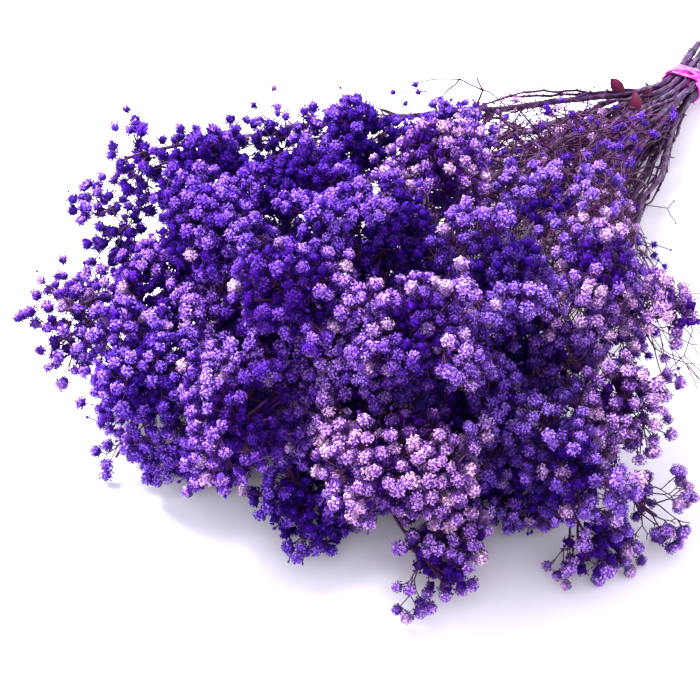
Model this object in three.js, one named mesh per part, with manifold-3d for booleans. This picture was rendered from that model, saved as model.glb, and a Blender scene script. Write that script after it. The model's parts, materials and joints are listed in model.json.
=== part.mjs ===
// A bunch of dyed, preserved gypsophila lying on its side: thirteen branching stems held together by
// one elastic tie. Every stem is one grown piece with its forks and nodes, and every fork ends in a
// clump of small double flowers, given here as one closed tuft.
// Millimetres. The flowers point to -Y, the cut ends to +Y, Z is up and the bunch rests on Z = 0.

import * as THREE from "three";
import { mergeVertices } from "three/addons/utils/BufferGeometryUtils.js";
import Module from "manifold-3d";

// Stems
const STEM_RADIUS_CUT = 2.6;
const STEM_RADIUS_TIP = 1.2;
const FORK_RADIUS_ROOT = 1.3;
const FORK_RADIUS_TIP = 0.9;
const NODE_RADIUS = 2.2;
const STEM_SIDES = 5;
const STEM_STEPS = 16;
const FORK_SIDES = 4;
const FORK_STEPS = 4;

// How strongly a stem keeps its direction, as a share of its run: behind the cut end, into and out
// of the tie, into its tip, and where a fork leaves it and turns to its tuft
const CUT_PULL = 0.35;
const TIE_ENTRY_PULL = 0.4;
const TIE_EXIT_PULL = 0.14;
const TIP_PULL = 0.3;
const FORK_PULL = 0.38;
const FORK_TURN = 0.55;

// The bundle at the tie: rows of stems packed like a honeycomb
const ROW_STEMS = [4, 5, 4];
const STEM_PITCH = 5.5;
const BUNDLE_SLOPE = THREE.MathUtils.degToRad(6.3);
const CUT_END_REACH = 58;
const CUT_END_STAGGER = [0, -4, 3, -7, 1];
const CUT_END_SPLAY = 1.35;
const TIE_HALF_RUN = 10;

// Flower tufts: fork run is the length of a fork, sink the share of a tuft's radius at which it
// rests on the table, and seat gap the room that a tuft leaves round a stem
const TUFT_DETAIL = 1;
const TUFT_LOBE_DEPTH = 0.12;
const TUFT_LOBE_WAVES = [5.1, 4.3, 4.7];
const TUFT_LOBE_TURNS = [1.7, 2.9, 0.8];
const TUFT_GAP = 1.2;
const TUFT_SINK = 0.74;
const FORK_RUN = 66;
const SEAT_GAP = 0.35;

// Elastic tie: turns of a soft elastic that touch each other
const BAND_TURNS = 3;
const BAND_TURN_WIDTH = 4.6;
const BAND_TURN_PITCH = 4;
const BAND_THICKNESS = 2.4;
const BAND_EDGE = 0.85;
const BAND_CLEARANCE = 0.4;

// Colours
const STEM_COLOR = 0x4a2350;
const BAND_COLOR = 0xc02aa0;
const FLOWER_COLORS = { violet: 0x5a30b0, lilac: 0x8a62c8, pale: 0xb79cd8 };

// One entry per stem. row and slot give its place in the tie. Each tuft is [x, y, z, radius, tone],
// with x and y counted from the point under the tie. The stem itself ends in the first one, and a
// fork of it in each of the others.
const SPRAYS = [
  {
    row: 0,
    slot: 0,
    tufts: [
      [-134, -446, 20, 26, "violet"],
      [-95, -400, 20, 27, "violet"],
      [-115, -482, 14, 15, "violet"],
      [-110, -345, 20, 25, "violet"],
    ],
  },
  {
    row: 0,
    slot: 1,
    tufts: [
      [-75, -462, 20, 27, "violet"],
      [-40, -412, 20, 28, "violet"],
      [-50, -355, 20, 27, "violet"],
    ],
  },
  {
    row: 0,
    slot: 2,
    tufts: [
      [-12, -462, 20, 27, "violet"],
      [18, -412, 20, 27, "pale"],
      [60, -472, 14, 16, "lilac"],
      [10, -350, 20, 27, "violet"],
    ],
  },
  {
    row: 0,
    slot: 3,
    tufts: [
      [64, -402, 20, 26, "violet"],
      [92, -362, 20, 25, "violet"],
      [116, -424, 16, 18, "lilac"],
      [132, -390, 18, 17, "lilac"],
    ],
  },
  {
    row: 1,
    slot: 0,
    tufts: [
      [-158, -448, 66, 22, "lilac"],
      [-118, -430, 75, 27, "lilac"],
      [-160, -398, 82, 22, "violet"],
      [-110, -370, 75, 27, "violet"],
    ],
  },
  {
    row: 1,
    slot: 1,
    tufts: [
      [-98, -470, 72, 26, "violet"],
      [-65, -430, 76, 27, "lilac"],
      [-60, -370, 78, 26, "violet"],
    ],
  },
  {
    row: 1,
    slot: 2,
    tufts: [
      [-38, -480, 72, 27, "lilac"],
      [-8, -430, 76, 28, "lilac"],
      [0, -370, 76, 27, "violet"],
    ],
  },
  {
    row: 1,
    slot: 3,
    tufts: [
      [25, -466, 68, 27, "pale"],
      [48, -416, 74, 27, "violet"],
      [50, -358, 74, 26, "violet"],
    ],
  },
  {
    row: 1,
    slot: 4,
    tufts: [
      [84, -424, 66, 25, "violet"],
      [104, -376, 70, 25, "pale"],
      [106, -334, 92, 18, "pale"],
      [78, -326, 76, 23, "lilac"],
    ],
  },
  {
    row: 2,
    slot: 0,
    tufts: [
      [-166, -386, 112, 20, "violet"],
      [-125, -372, 122, 25, "violet"],
      [-108, -332, 122, 24, "violet"],
    ],
  },
  {
    row: 2,
    slot: 1,
    tufts: [
      [-95, -425, 124, 26, "violet"],
      [-70, -378, 130, 27, "violet"],
      [-60, -330, 130, 25, "violet"],
    ],
  },
  {
    row: 2,
    slot: 2,
    tufts: [
      [-35, -445, 128, 27, "lilac"],
      [-10, -395, 136, 27, "violet"],
      [-18, -338, 138, 26, "pale"],
      [-40, -288, 124, 21, "violet"],
    ],
  },
  {
    row: 2,
    slot: 3,
    tufts: [
      [30, -440, 122, 26, "lilac"],
      [48, -385, 128, 26, "violet"],
      [76, -356, 122, 22, "lilac"],
      [38, -326, 128, 23, "violet"],
    ],
  },
];

// How each row of stems points where it ends in its tuft: rise for each unit of run
const ROW_TIP_RISE = [-0.12, 0.1, 0.12];

const wasm = await Module();
wasm.setup();

const AXIS = new THREE.Vector3(0, -Math.cos(BUNDLE_SLOPE), Math.sin(BUNDLE_SLOPE));
const ACROSS_BUNDLE = new THREE.Vector3(1, 0, 0);
const UP_BUNDLE = new THREE.Vector3(0, Math.sin(BUNDLE_SLOPE), Math.cos(BUNDLE_SLOPE));
const SIXTH_TURN = Math.PI / 3;
const ROW_PITCH = STEM_PITCH * Math.sin(SIXTH_TURN);

// The lowest row's cut ends lie on the table, which sets how high the tie stands.
const CUT_ROW_HEIGHT = (ROW_PITCH * CUT_END_SPLAY + STEM_RADIUS_CUT) * Math.cos(BUNDLE_SLOPE);
const TIE_HEIGHT = CUT_END_REACH * Math.sin(BUNDLE_SLOPE) + CUT_ROW_HEIGHT;

// A geometry as a solid that can be joined and cut.
function solid(geometry) {
  geometry.deleteAttribute("normal");
  geometry.deleteAttribute("uv");
  const merged = mergeVertices(geometry);
  return new wasm.Manifold(new wasm.Mesh({
    numProp: 3,
    vertProperties: merged.attributes.position.array,
    triVerts: merged.index.array,
  }));
}

// A named mesh of a solid, with its own material.
function mesh(name, body, color, roughness) {
  const { vertProperties, triVerts } = body.getMesh();
  const geometry = new THREE.BufferGeometry();
  geometry.setAttribute("position", new THREE.BufferAttribute(vertProperties, 3));
  geometry.setIndex(new THREE.BufferAttribute(triVerts, 1));
  geometry.computeVertexNormals();
  const finish = new THREE.MeshStandardMaterial({ color, roughness, metalness: 0 });
  const made = new THREE.Mesh(geometry, finish);
  made.name = name;
  return made;
}

// The largest of a solid's separate bodies.
function largest(body) {
  return body.decompose().reduce((a, b) => (b.volume() > a.volume() ? b : a));
}

// A tapered round stem along a curve: a cylinder bent so that its axis follows the curve.
function bentStem(curve, rootRadius, tipRadius, sides, steps) {
  const geometry = new THREE.CylinderGeometry(tipRadius, rootRadius, 1, sides, steps);
  const frames = curve.computeFrenetFrames(steps, false);
  const position = geometry.attributes.position;
  const point = new THREE.Vector3();
  for (let i = 0; i < position.count; i += 1) {
    const step = Math.round((position.getY(i) + 0.5) * steps);
    curve.getPointAt(step / steps, point);
    point.addScaledVector(frames.normals[step], position.getX(i));
    point.addScaledVector(frames.binormals[step], -position.getZ(i));
    position.setXYZ(i, point.x, point.y, point.z);
  }
  return solid(geometry);
}

// A point of the bundle: a stem's place in the honeycomb, so far along the axis from the tie.
function bundlePoint(spray, along, spread) {
  const across = (spray.slot - (ROW_STEMS[spray.row] - 1) / 2) * STEM_PITCH;
  const up = (spray.row - 1) * ROW_PITCH;
  return new THREE.Vector3(0, 0, TIE_HEIGHT)
    .addScaledVector(ACROSS_BUNDLE, across * spread)
    .addScaledVector(UP_BUNDLE, up * spread)
    .addScaledVector(AXIS, along);
}

// The tufts of all sprays, pushed apart where they would overlap. None goes below the table, but
// for the underside that it rests on.
function settledTufts() {
  const tufts = SPRAYS.flatMap((spray, number) => spray.tufts.map(([x, y, z, radius, tone]) => ({
    spray: number,
    centre: new THREE.Vector3(x, y, z),
    radius,
    tone,
  })));
  const between = new THREE.Vector3();
  const passes = 80;
  for (let pass = 0; pass < passes; pass += 1) {
    tufts.forEach((a, i) => tufts.slice(i + 1).forEach((b) => {
      between.subVectors(b.centre, a.centre);
      const lacking = a.radius + b.radius + TUFT_GAP - between.length();
      if (lacking > 0) {
        between.setLength(lacking / 2);
        a.centre.sub(between);
        b.centre.add(between);
      }
    }));
    tufts.forEach((tuft) => {
      tuft.centre.z = Math.max(tuft.centre.z, tuft.radius * TUFT_SINK);
    });
  }
  return tufts;
}

// A main stem's line: from its cut end, straight through the tie, then spreading out to the middle
// of its tip tuft.
function stemLine(spray, number, tip) {
  const stagger = CUT_END_STAGGER[number % CUT_END_STAGGER.length];
  const cutEnd = bundlePoint(spray, -CUT_END_REACH - stagger, CUT_END_SPLAY);
  const entry = bundlePoint(spray, -TIE_HALF_RUN, 1);
  const exit = bundlePoint(spray, TIE_HALF_RUN, 1);
  const tail = cutEnd.distanceTo(entry);
  const reach = exit.distanceTo(tip);
  const outward = tip.clone().sub(exit).setZ(0).normalize().setZ(ROW_TIP_RISE[spray.row]);
  const line = new THREE.CurvePath();
  line.add(new THREE.CubicBezierCurve3(
    cutEnd,
    cutEnd.clone().lerp(entry, CUT_PULL),
    entry.clone().addScaledVector(AXIS, -TIE_ENTRY_PULL * tail),
    entry,
  ));
  line.add(new THREE.LineCurve3(entry, exit));
  line.add(new THREE.CubicBezierCurve3(
    exit,
    exit.clone().addScaledVector(AXIS, TIE_EXIT_PULL * reach),
    tip.clone().addScaledVector(outward, -TIP_PULL * reach),
    tip,
  ));
  return line;
}

// How far along a line, as a share of its length, it comes nearest to a point.
function nearestShare(line, point) {
  const samples = 100;
  let best = 0;
  for (let i = 1; i <= samples; i += 1) {
    const gap = line.getPointAt(i / samples).distanceTo(point);
    if (gap < line.getPointAt(best / samples).distanceTo(point)) best = i;
  }
  return best / samples;
}

// A fork's line: it leaves the main stem along its direction and bends out to its own tuft.
function forkLine(line, target) {
  const share = nearestShare(line, target) - FORK_RUN / line.getLength();
  const start = line.getPointAt(share);
  const run = start.distanceTo(target);
  const bend = start.clone().addScaledVector(line.getTangentAt(share), FORK_PULL * run);
  return new THREE.CubicBezierCurve3(start, bend, bend.clone().lerp(target, FORK_TURN), target);
}

// All of one stem: the main line, its forks and the swollen node at each fork. room widens it all.
function stemBody(plan, room) {
  const main = bentStem(
    plan.line,
    STEM_RADIUS_CUT + room,
    STEM_RADIUS_TIP + room,
    STEM_SIDES,
    STEM_STEPS,
  );
  return plan.forks.reduce((body, fork) => {
    const root = fork.getPoint(0);
    const node = new THREE.IcosahedronGeometry(NODE_RADIUS + room, 0);
    return body
      .add(bentStem(fork, FORK_RADIUS_ROOT + room, FORK_RADIUS_TIP + room, FORK_SIDES, FORK_STEPS))
      .add(solid(node.translate(root.x, root.y, root.z)));
  }, main);
}

// The outer surface of one clump of flowers: a lumpy ball, with lobes that differ from tuft to tuft.
function tuftBody(tuft, number) {
  const geometry = new THREE.IcosahedronGeometry(1, TUFT_DETAIL);
  const position = geometry.attributes.position;
  const point = new THREE.Vector3();
  for (let i = 0; i < position.count; i += 1) {
    point.fromBufferAttribute(position, i).normalize();
    const hollow = point.toArray().reduce(
      (sum, side, k) => sum + 1 + Math.sin(TUFT_LOBE_WAVES[k] * side + TUFT_LOBE_TURNS[k] * number),
      0,
    ) / 6;
    point.multiplyScalar(tuft.radius * (1 - TUFT_LOBE_DEPTH * hollow)).add(tuft.centre);
    position.setXYZ(i, point.x, point.y, point.z);
  }
  return solid(geometry);
}

// A line round the bundle: the outline of its six corner stems, wider by a distance.
function bundleOutline(path, distance) {
  const corners = [
    [-1.5, -1], [1.5, -1], [2, 0], [1.5, 1], [-1.5, 1], [-2, 0],
  ];
  corners.forEach(([across, row], i) => {
    const from = (i - 1) * SIXTH_TURN - Math.PI / 2;
    path.absarc(across * STEM_PITCH, row * ROW_PITCH, distance, from, from + SIXTH_TURN, false);
  });
  path.closePath();
  return path;
}

// The elastic: turns with rounded edges, side by side round the bundle and joined to one band.
function tieBand() {
  const inner = STEM_RADIUS_CUT + BAND_CLEARANCE;
  const outline = bundleOutline(new THREE.Shape(), inner + BAND_THICKNESS);
  outline.holes.push(bundleOutline(new THREE.Path(), inner));
  const turns = Array.from({ length: BAND_TURNS }, (_, turn) => {
    const geometry = new THREE.ExtrudeGeometry(outline, {
      depth: BAND_TURN_WIDTH - 2 * BAND_EDGE,
      bevelEnabled: true,
      bevelThickness: BAND_EDGE,
      bevelSize: BAND_EDGE,
      bevelOffset: -BAND_EDGE,
      bevelSegments: 1,
      curveSegments: 1,
    });
    const place = (turn - (BAND_TURNS - 1) / 2) * BAND_TURN_PITCH;
    geometry.translate(0, 0, place - BAND_TURN_WIDTH / 2 + BAND_EDGE);
    geometry.rotateX(Math.PI / 2 - BUNDLE_SLOPE);
    geometry.translate(0, 0, TIE_HEIGHT);
    return solid(geometry);
  });
  return turns.reduce((band, turn) => band.add(turn));
}

// Each stem with its lines and its own tufts
const tufts = settledTufts();
const plans = SPRAYS.map((spray, number) => {
  const own = tufts.filter((tuft) => tuft.spray === number);
  const line = stemLine(spray, number, own[0].centre);
  const forks = own.slice(1).map((tuft) => forkLine(line, tuft.centre));
  return { number, label: String(number + 1).padStart(2, "0"), own, line, forks };
});

const tableSize = 2000;
const table = solid(
  new THREE.BoxGeometry(tableSize, tableSize, tableSize).translate(0, 0, -tableSize / 2),
);
const taken = plans.reduce((body, plan) => body.add(stemBody(plan, SEAT_GAP)), table);

const bunch = new THREE.Group();
plans.forEach((plan) => {
  const spray = new THREE.Group();
  spray.add(mesh(`stem_${plan.label}`, stemBody(plan, 0).subtract(table), STEM_COLOR, 0.6));
  plan.own.forEach((tuft, i) => {
    const letter = "abcd"[i];
    const body = largest(tuftBody(tuft, 4 * plan.number + i).subtract(taken));
    spray.add(mesh(`flower_tuft_${plan.label}_${letter}`, body, FLOWER_COLORS[tuft.tone], 0.85));
  });
  bunch.add(spray);
});
bunch.add(mesh("tie_band", tieBand(), BAND_COLOR, 0.3));

// The frame's origin is on the table, under the middle of the bunch.
const box = new THREE.Box3().setFromObject(bunch);
const middle = box.getCenter(new THREE.Vector3());
bunch.position.set(-middle.x, -middle.y, -box.min.z);

export default bunch;
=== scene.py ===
import json
import math

import bpy
import numpy as np
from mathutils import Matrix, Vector


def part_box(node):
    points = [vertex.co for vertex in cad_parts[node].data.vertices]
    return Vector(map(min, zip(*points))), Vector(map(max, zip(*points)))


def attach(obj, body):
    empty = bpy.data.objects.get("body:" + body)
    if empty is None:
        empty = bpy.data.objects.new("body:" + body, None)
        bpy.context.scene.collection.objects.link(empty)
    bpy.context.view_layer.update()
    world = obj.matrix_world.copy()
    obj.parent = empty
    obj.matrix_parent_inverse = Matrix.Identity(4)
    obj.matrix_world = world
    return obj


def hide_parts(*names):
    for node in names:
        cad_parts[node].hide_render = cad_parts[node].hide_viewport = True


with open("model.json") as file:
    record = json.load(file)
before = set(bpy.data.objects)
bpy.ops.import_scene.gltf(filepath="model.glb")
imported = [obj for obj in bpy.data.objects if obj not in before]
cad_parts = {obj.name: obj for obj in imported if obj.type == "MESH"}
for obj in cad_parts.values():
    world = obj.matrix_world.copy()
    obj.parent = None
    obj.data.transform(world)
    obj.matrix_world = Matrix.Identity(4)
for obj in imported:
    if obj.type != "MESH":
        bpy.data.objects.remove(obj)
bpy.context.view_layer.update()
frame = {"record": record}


# Where everything grows. Thirteen cut stems run side by side through the tie, then fan out, and each
# ends in a round clump of flowers, with two or three more clumps on its forks. Sizes are millimetres.
MM = 0.001
ROW_STEMS = (4, 5, 4)
STEM_PITCH = 5.5
ROW_PITCH = STEM_PITCH * math.sin(math.pi / 3)
BUNDLE_SLOPE = math.radians(6.3)
AXIS = np.array([0, -math.cos(BUNDLE_SLOPE), math.sin(BUNDLE_SLOPE)])
UP = np.array([0, math.sin(BUNDLE_SLOPE), math.cos(BUNDLE_SLOPE)])
ACROSS = np.array([1.0, 0, 0])
CUT_END_REACH = 58
CUT_END_STAGGER = (0, -4, 3, -7, 1)
CUT_END_SPLAY = 1.35
TIE_HALF_RUN = 10
# How far each end of a line is pulled straight before it bends, as a share of the line's reach
CUT_PULL, TIE_ENTRY_PULL, TIE_EXIT_PULL, TIP_PULL = 0.35, 0.4, 0.14, 0.3
FORK_PULL, FORK_TURN, FORK_RUN = 0.38, 0.55, 66
ROW_TIP_RISE = (-0.12, 0.1, 0.12)
LINE_STEP = 2.0
POINTS_BEHIND, POINTS_AHEAD, POINTS_OF_FORK = 20, 120, 40


def box_of(node):
    return [np.array(corner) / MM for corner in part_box(node)]


def unit(vectors):
    length = np.linalg.norm(vectors, axis=-1, keepdims=True)
    return vectors / np.maximum(length, 1e-9)


def bend(start, pull, push, end, count):
    """A smooth curve that leaves start towards pull and comes to end from push."""
    t = np.linspace(0, 1, count)[:, None]
    s = 1 - t
    return s**3 * start + 3 * s * s * t * pull + 3 * s * t * t * push + t**3 * end


def paced(points, step):
    """The same line with points at an even pace."""
    run = np.concatenate([[0], np.cumsum(np.linalg.norm(np.diff(points, axis=0), axis=1))])
    count = max(2, round(run[-1] / step) + 1)
    at = np.linspace(0, run[-1], count)
    return np.stack([np.interp(at, run, points[:, k]) for k in range(3)], axis=1)


tie_centre = sum(box_of("tie_band")) / 2
slot_of = {part["node"]: part["material_slot"] for part in frame["record"]["subparts"]}


class Tuft:
    """One clump of flowers: its name, its dye, its middle and its radius."""

    def __init__(self, node):
        low, high = box_of(node)
        self.label = node.removeprefix("flower_tuft_")
        self.node = node
        self.dye = slot_of[node]
        self.radius = float((high - low)[:2].mean() / 2)
        self.centre = (low + high) / 2
        self.centre[2] = high[2] - self.radius


class Spray:
    """One stem of the bunch: its place in the tie, its clumps, its own line and its forks' lines."""

    def __init__(self, number, row, slot):
        self.number = number
        self.row = row
        self.slot = slot
        self.label = f"{number + 1:02d}"
        self.tufts = [Tuft(n) for n in sorted(slot_of) if n.startswith(f"flower_tuft_{self.label}_")]
        self.main = self.main_line()
        self.forks = [self.fork_line(tuft) for tuft in self.tufts[1:]]

    def in_bundle(self, along, spread=1.0):
        """The stem's own place in the bundle, at a distance along it from the tie."""
        across = (self.slot - (ROW_STEMS[self.row] - 1) / 2) * STEM_PITCH
        up = (self.row - 1) * ROW_PITCH
        return tie_centre + spread * (across * ACROSS + up * UP) + along * AXIS

    def main_line(self):
        stagger = CUT_END_STAGGER[self.number % len(CUT_END_STAGGER)]
        tip = self.tufts[0].centre
        cut = self.in_bundle(-CUT_END_REACH - stagger, CUT_END_SPLAY)
        entry = self.in_bundle(-TIE_HALF_RUN)
        leave = self.in_bundle(TIE_HALF_RUN)
        tail = np.linalg.norm(entry - cut)
        reach = np.linalg.norm(tip - leave)
        outward = unit((tip - leave) * [1, 1, 0])
        outward[2] = ROW_TIP_RISE[self.row]
        out_of_cut = cut + CUT_PULL * (entry - cut)
        into_tie = entry - TIE_ENTRY_PULL * tail * AXIS
        out_of_tie = leave + TIE_EXIT_PULL * reach * AXIS
        into_tip = tip - TIP_PULL * reach * outward
        behind = bend(cut, out_of_cut, into_tie, entry, POINTS_BEHIND)
        ahead = bend(leave, out_of_tie, into_tip, tip, POINTS_AHEAD)
        return paced(np.concatenate([behind, ahead]), LINE_STEP)

    def fork_line(self, tuft):
        nearest = int(np.linalg.norm(self.main - tuft.centre, axis=1).argmin())
        root = max(nearest - round(FORK_RUN / LINE_STEP), 1)
        start = self.main[root]
        run = np.linalg.norm(tuft.centre - start)
        pull = start + unit(self.main[root + 1] - self.main[root - 1]) * FORK_PULL * run
        push = pull + FORK_TURN * (tuft.centre - pull)
        return paced(bend(start, pull, push, tuft.centre, POINTS_OF_FORK), LINE_STEP)


places = [(row, slot) for row, count in enumerate(ROW_STEMS) for slot in range(count)]
sprays = [Spray(number, row, slot) for number, (row, slot) in enumerate(places)]


# Main stems. Dried, dyed plant stems, finely ribbed, with a swollen joint every few centimetres, and cut
# off past the tie. Each fork grows out of its stem, so a stem and its forks are one piece.
STEM_WIDE, STEM_NARROW, STEM_STEP, STEM_SIDES = 2.3, 0.95, 3.6, 8
FORK_WIDE, FORK_NARROW, FORK_STEP, FORK_SIDES = 1.15, 0.6, 5.0, 6
FORK_ROOT_SWELL = 1.5
JOINT_SPACING, FIRST_JOINT, MOST_JOINTS = (22, 46), -20, 40
JOINT_RUN, JOINT_SWELL = 1.9, 0.26
RIBS, RIB_DEPTH, RIB_TWIST = 5, 0.07, 0.05
# How far a stem leans aside at its joints, past the point where it is free of the tie
SWAY, SWAY_SHARES, SWAY_FROM, SWAY_RISE = 1.5, (1, 0.3, 0.8), 95, 60
BARK_DARK, BARK_PLUM, BARK_GREY, BARK_RED = "080210", "2c0c38", "4a2d60", "3e1038"
CUT_PITH = "94807a"
TABLE_CLEAR = 0.1
DROP_SIDES = 5
# A way in which no stem or twig quite points, from which their sides are turned
ANY_WAY = [0.31, 0.17, 0.93]
# A quad's two triangles and a lone triangle, laid in a square of the finish's map
QUAD_CORNERS = np.array([[(0.1, 0.1), (0.9, 0.1), (0.9, 0.9)], [(0.1, 0.1), (0.9, 0.9), (0.1, 0.9)]])
TRIANGLE_CORNERS = np.array([(0.1, 0.5), (0.9, 0.1), (0.9, 0.9)])


def halved(a, b, c, d):
    """Each four-sided wall with corners a, b, c, d as two triangles."""
    return np.stack([np.stack([a, b, c], 1), np.stack([a, c, d], 1)], 1).reshape(-1, 3)


def walls_of(rings, sides):
    """The walls of a tube that has so many rings of points."""
    ring, step = np.meshgrid(np.arange(rings - 1) * sides, np.arange(sides), indexing="ij")
    a = (ring + step).ravel()
    b = (ring + (step + 1) % sides).ravel()
    return halved(a, b, b + sides, a + sides)


class Cuttings:
    """Points and triangles of many small shapes that become one piece, with four marks at each point
    that colour it, and a square of the finish's map for each shape's faces."""

    def __init__(self):
        self.points, self.faces, self.marks, self.corners, self.squares = [], [], [], [], []
        self.point_count = 0
        self.square_count = 0

    def add(self, points, faces, marks, corners, squares):
        """Any shape, with the corners of each face in its square of the map."""
        self.points.append(points)
        self.faces.append(faces + self.point_count)
        self.marks.append(marks)
        self.corners.append(np.broadcast_to(corners, (len(faces), 3, 2)))
        self.squares.append(squares + self.square_count)
        self.point_count += len(points)
        self.square_count += int(squares.max()) + 1

    def add_triangles(self, points, faces, marks):
        """Lone triangles, each in its own square of the map."""
        self.add(points, faces, marks, TRIANGLE_CORNERS, np.arange(len(faces)))

    def add_walls(self, points, walls, marks, caps=np.empty((0, 3), int)):
        """Walls of two triangles that share a square of the map, and caps of lone triangles."""
        pairs = len(walls) // 2
        corners = [np.tile(QUAD_CORNERS, (pairs, 1, 1)), np.tile(TRIANGLE_CORNERS, (len(caps), 1, 1))]
        squares = [np.repeat(np.arange(pairs), 2), pairs + np.arange(len(caps))]
        faces = np.concatenate([walls, caps])
        self.add(points, faces, marks, np.concatenate(corners), np.concatenate(squares))

    def add_tube(self, line, radii, sides, marks, rib_depth=0, rib_turn=0):
        """A round or ribbed stalk along a line, closed at both ends."""
        count = len(line)
        along = unit(np.gradient(line, axis=0))
        sideways = [unit(np.cross(along[0], ANY_WAY))]
        for k in range(1, count):
            kept = sideways[-1] - along[k] * (sideways[-1] @ along[k])
            sideways.append(unit(kept))
        sideways = np.array(sideways)
        other = np.cross(along, sideways)
        turn = np.arange(sides) * 2 * math.pi / sides
        twist = RIB_TWIST * np.arange(count)[:, None]
        radii = radii[:, None] * (1 + rib_depth * np.sin(RIBS * turn + rib_turn + twist))
        rings = (
            line[:, None]
            + (radii * np.cos(turn))[..., None] * sideways[:, None]
            + (radii * np.sin(turn))[..., None] * other[:, None]
        )
        rim = np.arange(sides)
        rim_next = (rim + 1) % sides
        far = (count - 1) * sides
        first_middle, last_middle = np.full(sides, count * sides), np.full(sides, count * sides + 1)
        caps = np.concatenate([
            np.stack([first_middle, rim_next, rim], 1),
            np.stack([last_middle, far + rim, far + rim_next], 1),
        ])
        points = np.concatenate([rings.reshape(-1, 3), line[:1], line[-1:]])
        marks = np.concatenate([np.repeat(marks, sides, axis=0), marks[:1], marks[-1:]])
        self.add_walls(points, walls_of(count, sides), marks, caps)

    def add_stalks(self, starts, ends, wide, narrow, marks):
        """Straight three-sided stalks, open where they go into a joint or a flower."""
        along = unit(ends - starts)
        side = unit(np.cross(along, ANY_WAY))
        other = np.cross(along, side)
        turn = np.arange(3)[:, None] * 2 * math.pi / 3
        ring = np.cos(turn) * side[:, None] + np.sin(turn) * other[:, None]
        points = np.concatenate([
            starts[:, None] + ring * wide[:, None, None],
            ends[:, None] + ring * narrow[:, None, None],
        ], axis=1)
        walls = walls_of(2, 3)[None] + 6 * np.arange(len(starts))[:, None, None]
        self.add_walls(points.reshape(-1, 3), walls.reshape(-1, 3), np.repeat(marks, 6, axis=0))

    def add_drops(self, at, facing, wide, long, marks):
        """Small closed drops, for swollen joints and flower buds."""
        z = unit(facing)
        x = unit(np.cross(z, ANY_WAY))
        y = np.cross(z, x)
        turn = np.arange(DROP_SIDES) * 2 * math.pi / DROP_SIDES
        belly = np.stack([np.cos(turn), np.sin(turn), 0 * turn - 0.05], axis=1)
        outline = np.concatenate([[(0, 0, -0.5)], belly, [(0, 0, 0.5)]])
        frames = np.stack([x * wide[:, None], y * wide[:, None], z * long[:, None]], axis=2)
        points = np.einsum("nij,vj->nvi", frames, outline) + at[:, None]
        low = 1 + np.arange(DROP_SIDES)
        low_next = 1 + (np.arange(DROP_SIDES) + 1) % DROP_SIDES
        top = np.full(DROP_SIDES, 1 + DROP_SIDES)
        faces = np.concatenate([np.stack([0 * top, low_next, low], 1), np.stack([low, low_next, top], 1)])
        per = len(outline)
        many = faces[None] + per * np.arange(len(at))[:, None, None]
        self.add_triangles(points.reshape(-1, 3), many.reshape(-1, 3), np.repeat(marks, per, axis=0))


def make_piece(name, cuttings, finish, slot, *stands_for):
    """One piece of the bunch, with its finish and the solids that it stands for. Its slot is not used."""
    points = np.concatenate(cuttings.points)
    points[:, 2] = np.maximum(points[:, 2], TABLE_CLEAR)
    faces = np.concatenate(cuttings.faces)
    marks = np.concatenate(cuttings.marks)
    corners = np.concatenate(cuttings.corners)
    squares = np.concatenate(cuttings.squares)
    mesh = bpy.data.meshes.new(name)
    mesh.vertices.add(len(points))
    mesh.vertices.foreach_set("co", (points * MM).astype(np.float32).ravel())
    mesh.loops.add(faces.size)
    mesh.loops.foreach_set("vertex_index", faces.astype(np.int32).ravel())
    mesh.polygons.add(len(faces))
    mesh.polygons.foreach_set("loop_start", np.arange(0, faces.size, 3, dtype=np.int32))
    mesh.polygons.foreach_set("use_smooth", np.ones(len(faces), bool))
    mesh.update(calc_edges=True)
    marked = mesh.color_attributes.new("marks", "FLOAT_COLOR", "POINT")
    marked.data.foreach_set("color", marks.astype(np.float32).ravel())
    across = math.ceil(math.sqrt(cuttings.square_count))
    place = np.stack([squares % across, squares // across], 1)[:, None]
    laid = mesh.uv_layers.new(name="OFBake")
    laid.data.foreach_set("uv", ((place + corners) / across).astype(np.float32).ravel())
    mesh.materials.append(finish)
    piece = bpy.data.objects.new(name, mesh)
    bpy.context.scene.collection.objects.link(piece)
    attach(piece, "root")
    if stands_for:
        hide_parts(*stands_for)


def rgb(code):
    """A colour as the shader takes it, from the usual six letters and digits."""
    shares = [int(code[k:k + 2], 16) / 255 for k in (0, 2, 4)]
    return tuple(c / 12.92 if c < 0.04045 else ((c + 0.055) / 1.055) ** 2.4 for c in shares) + (1.0,)


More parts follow.
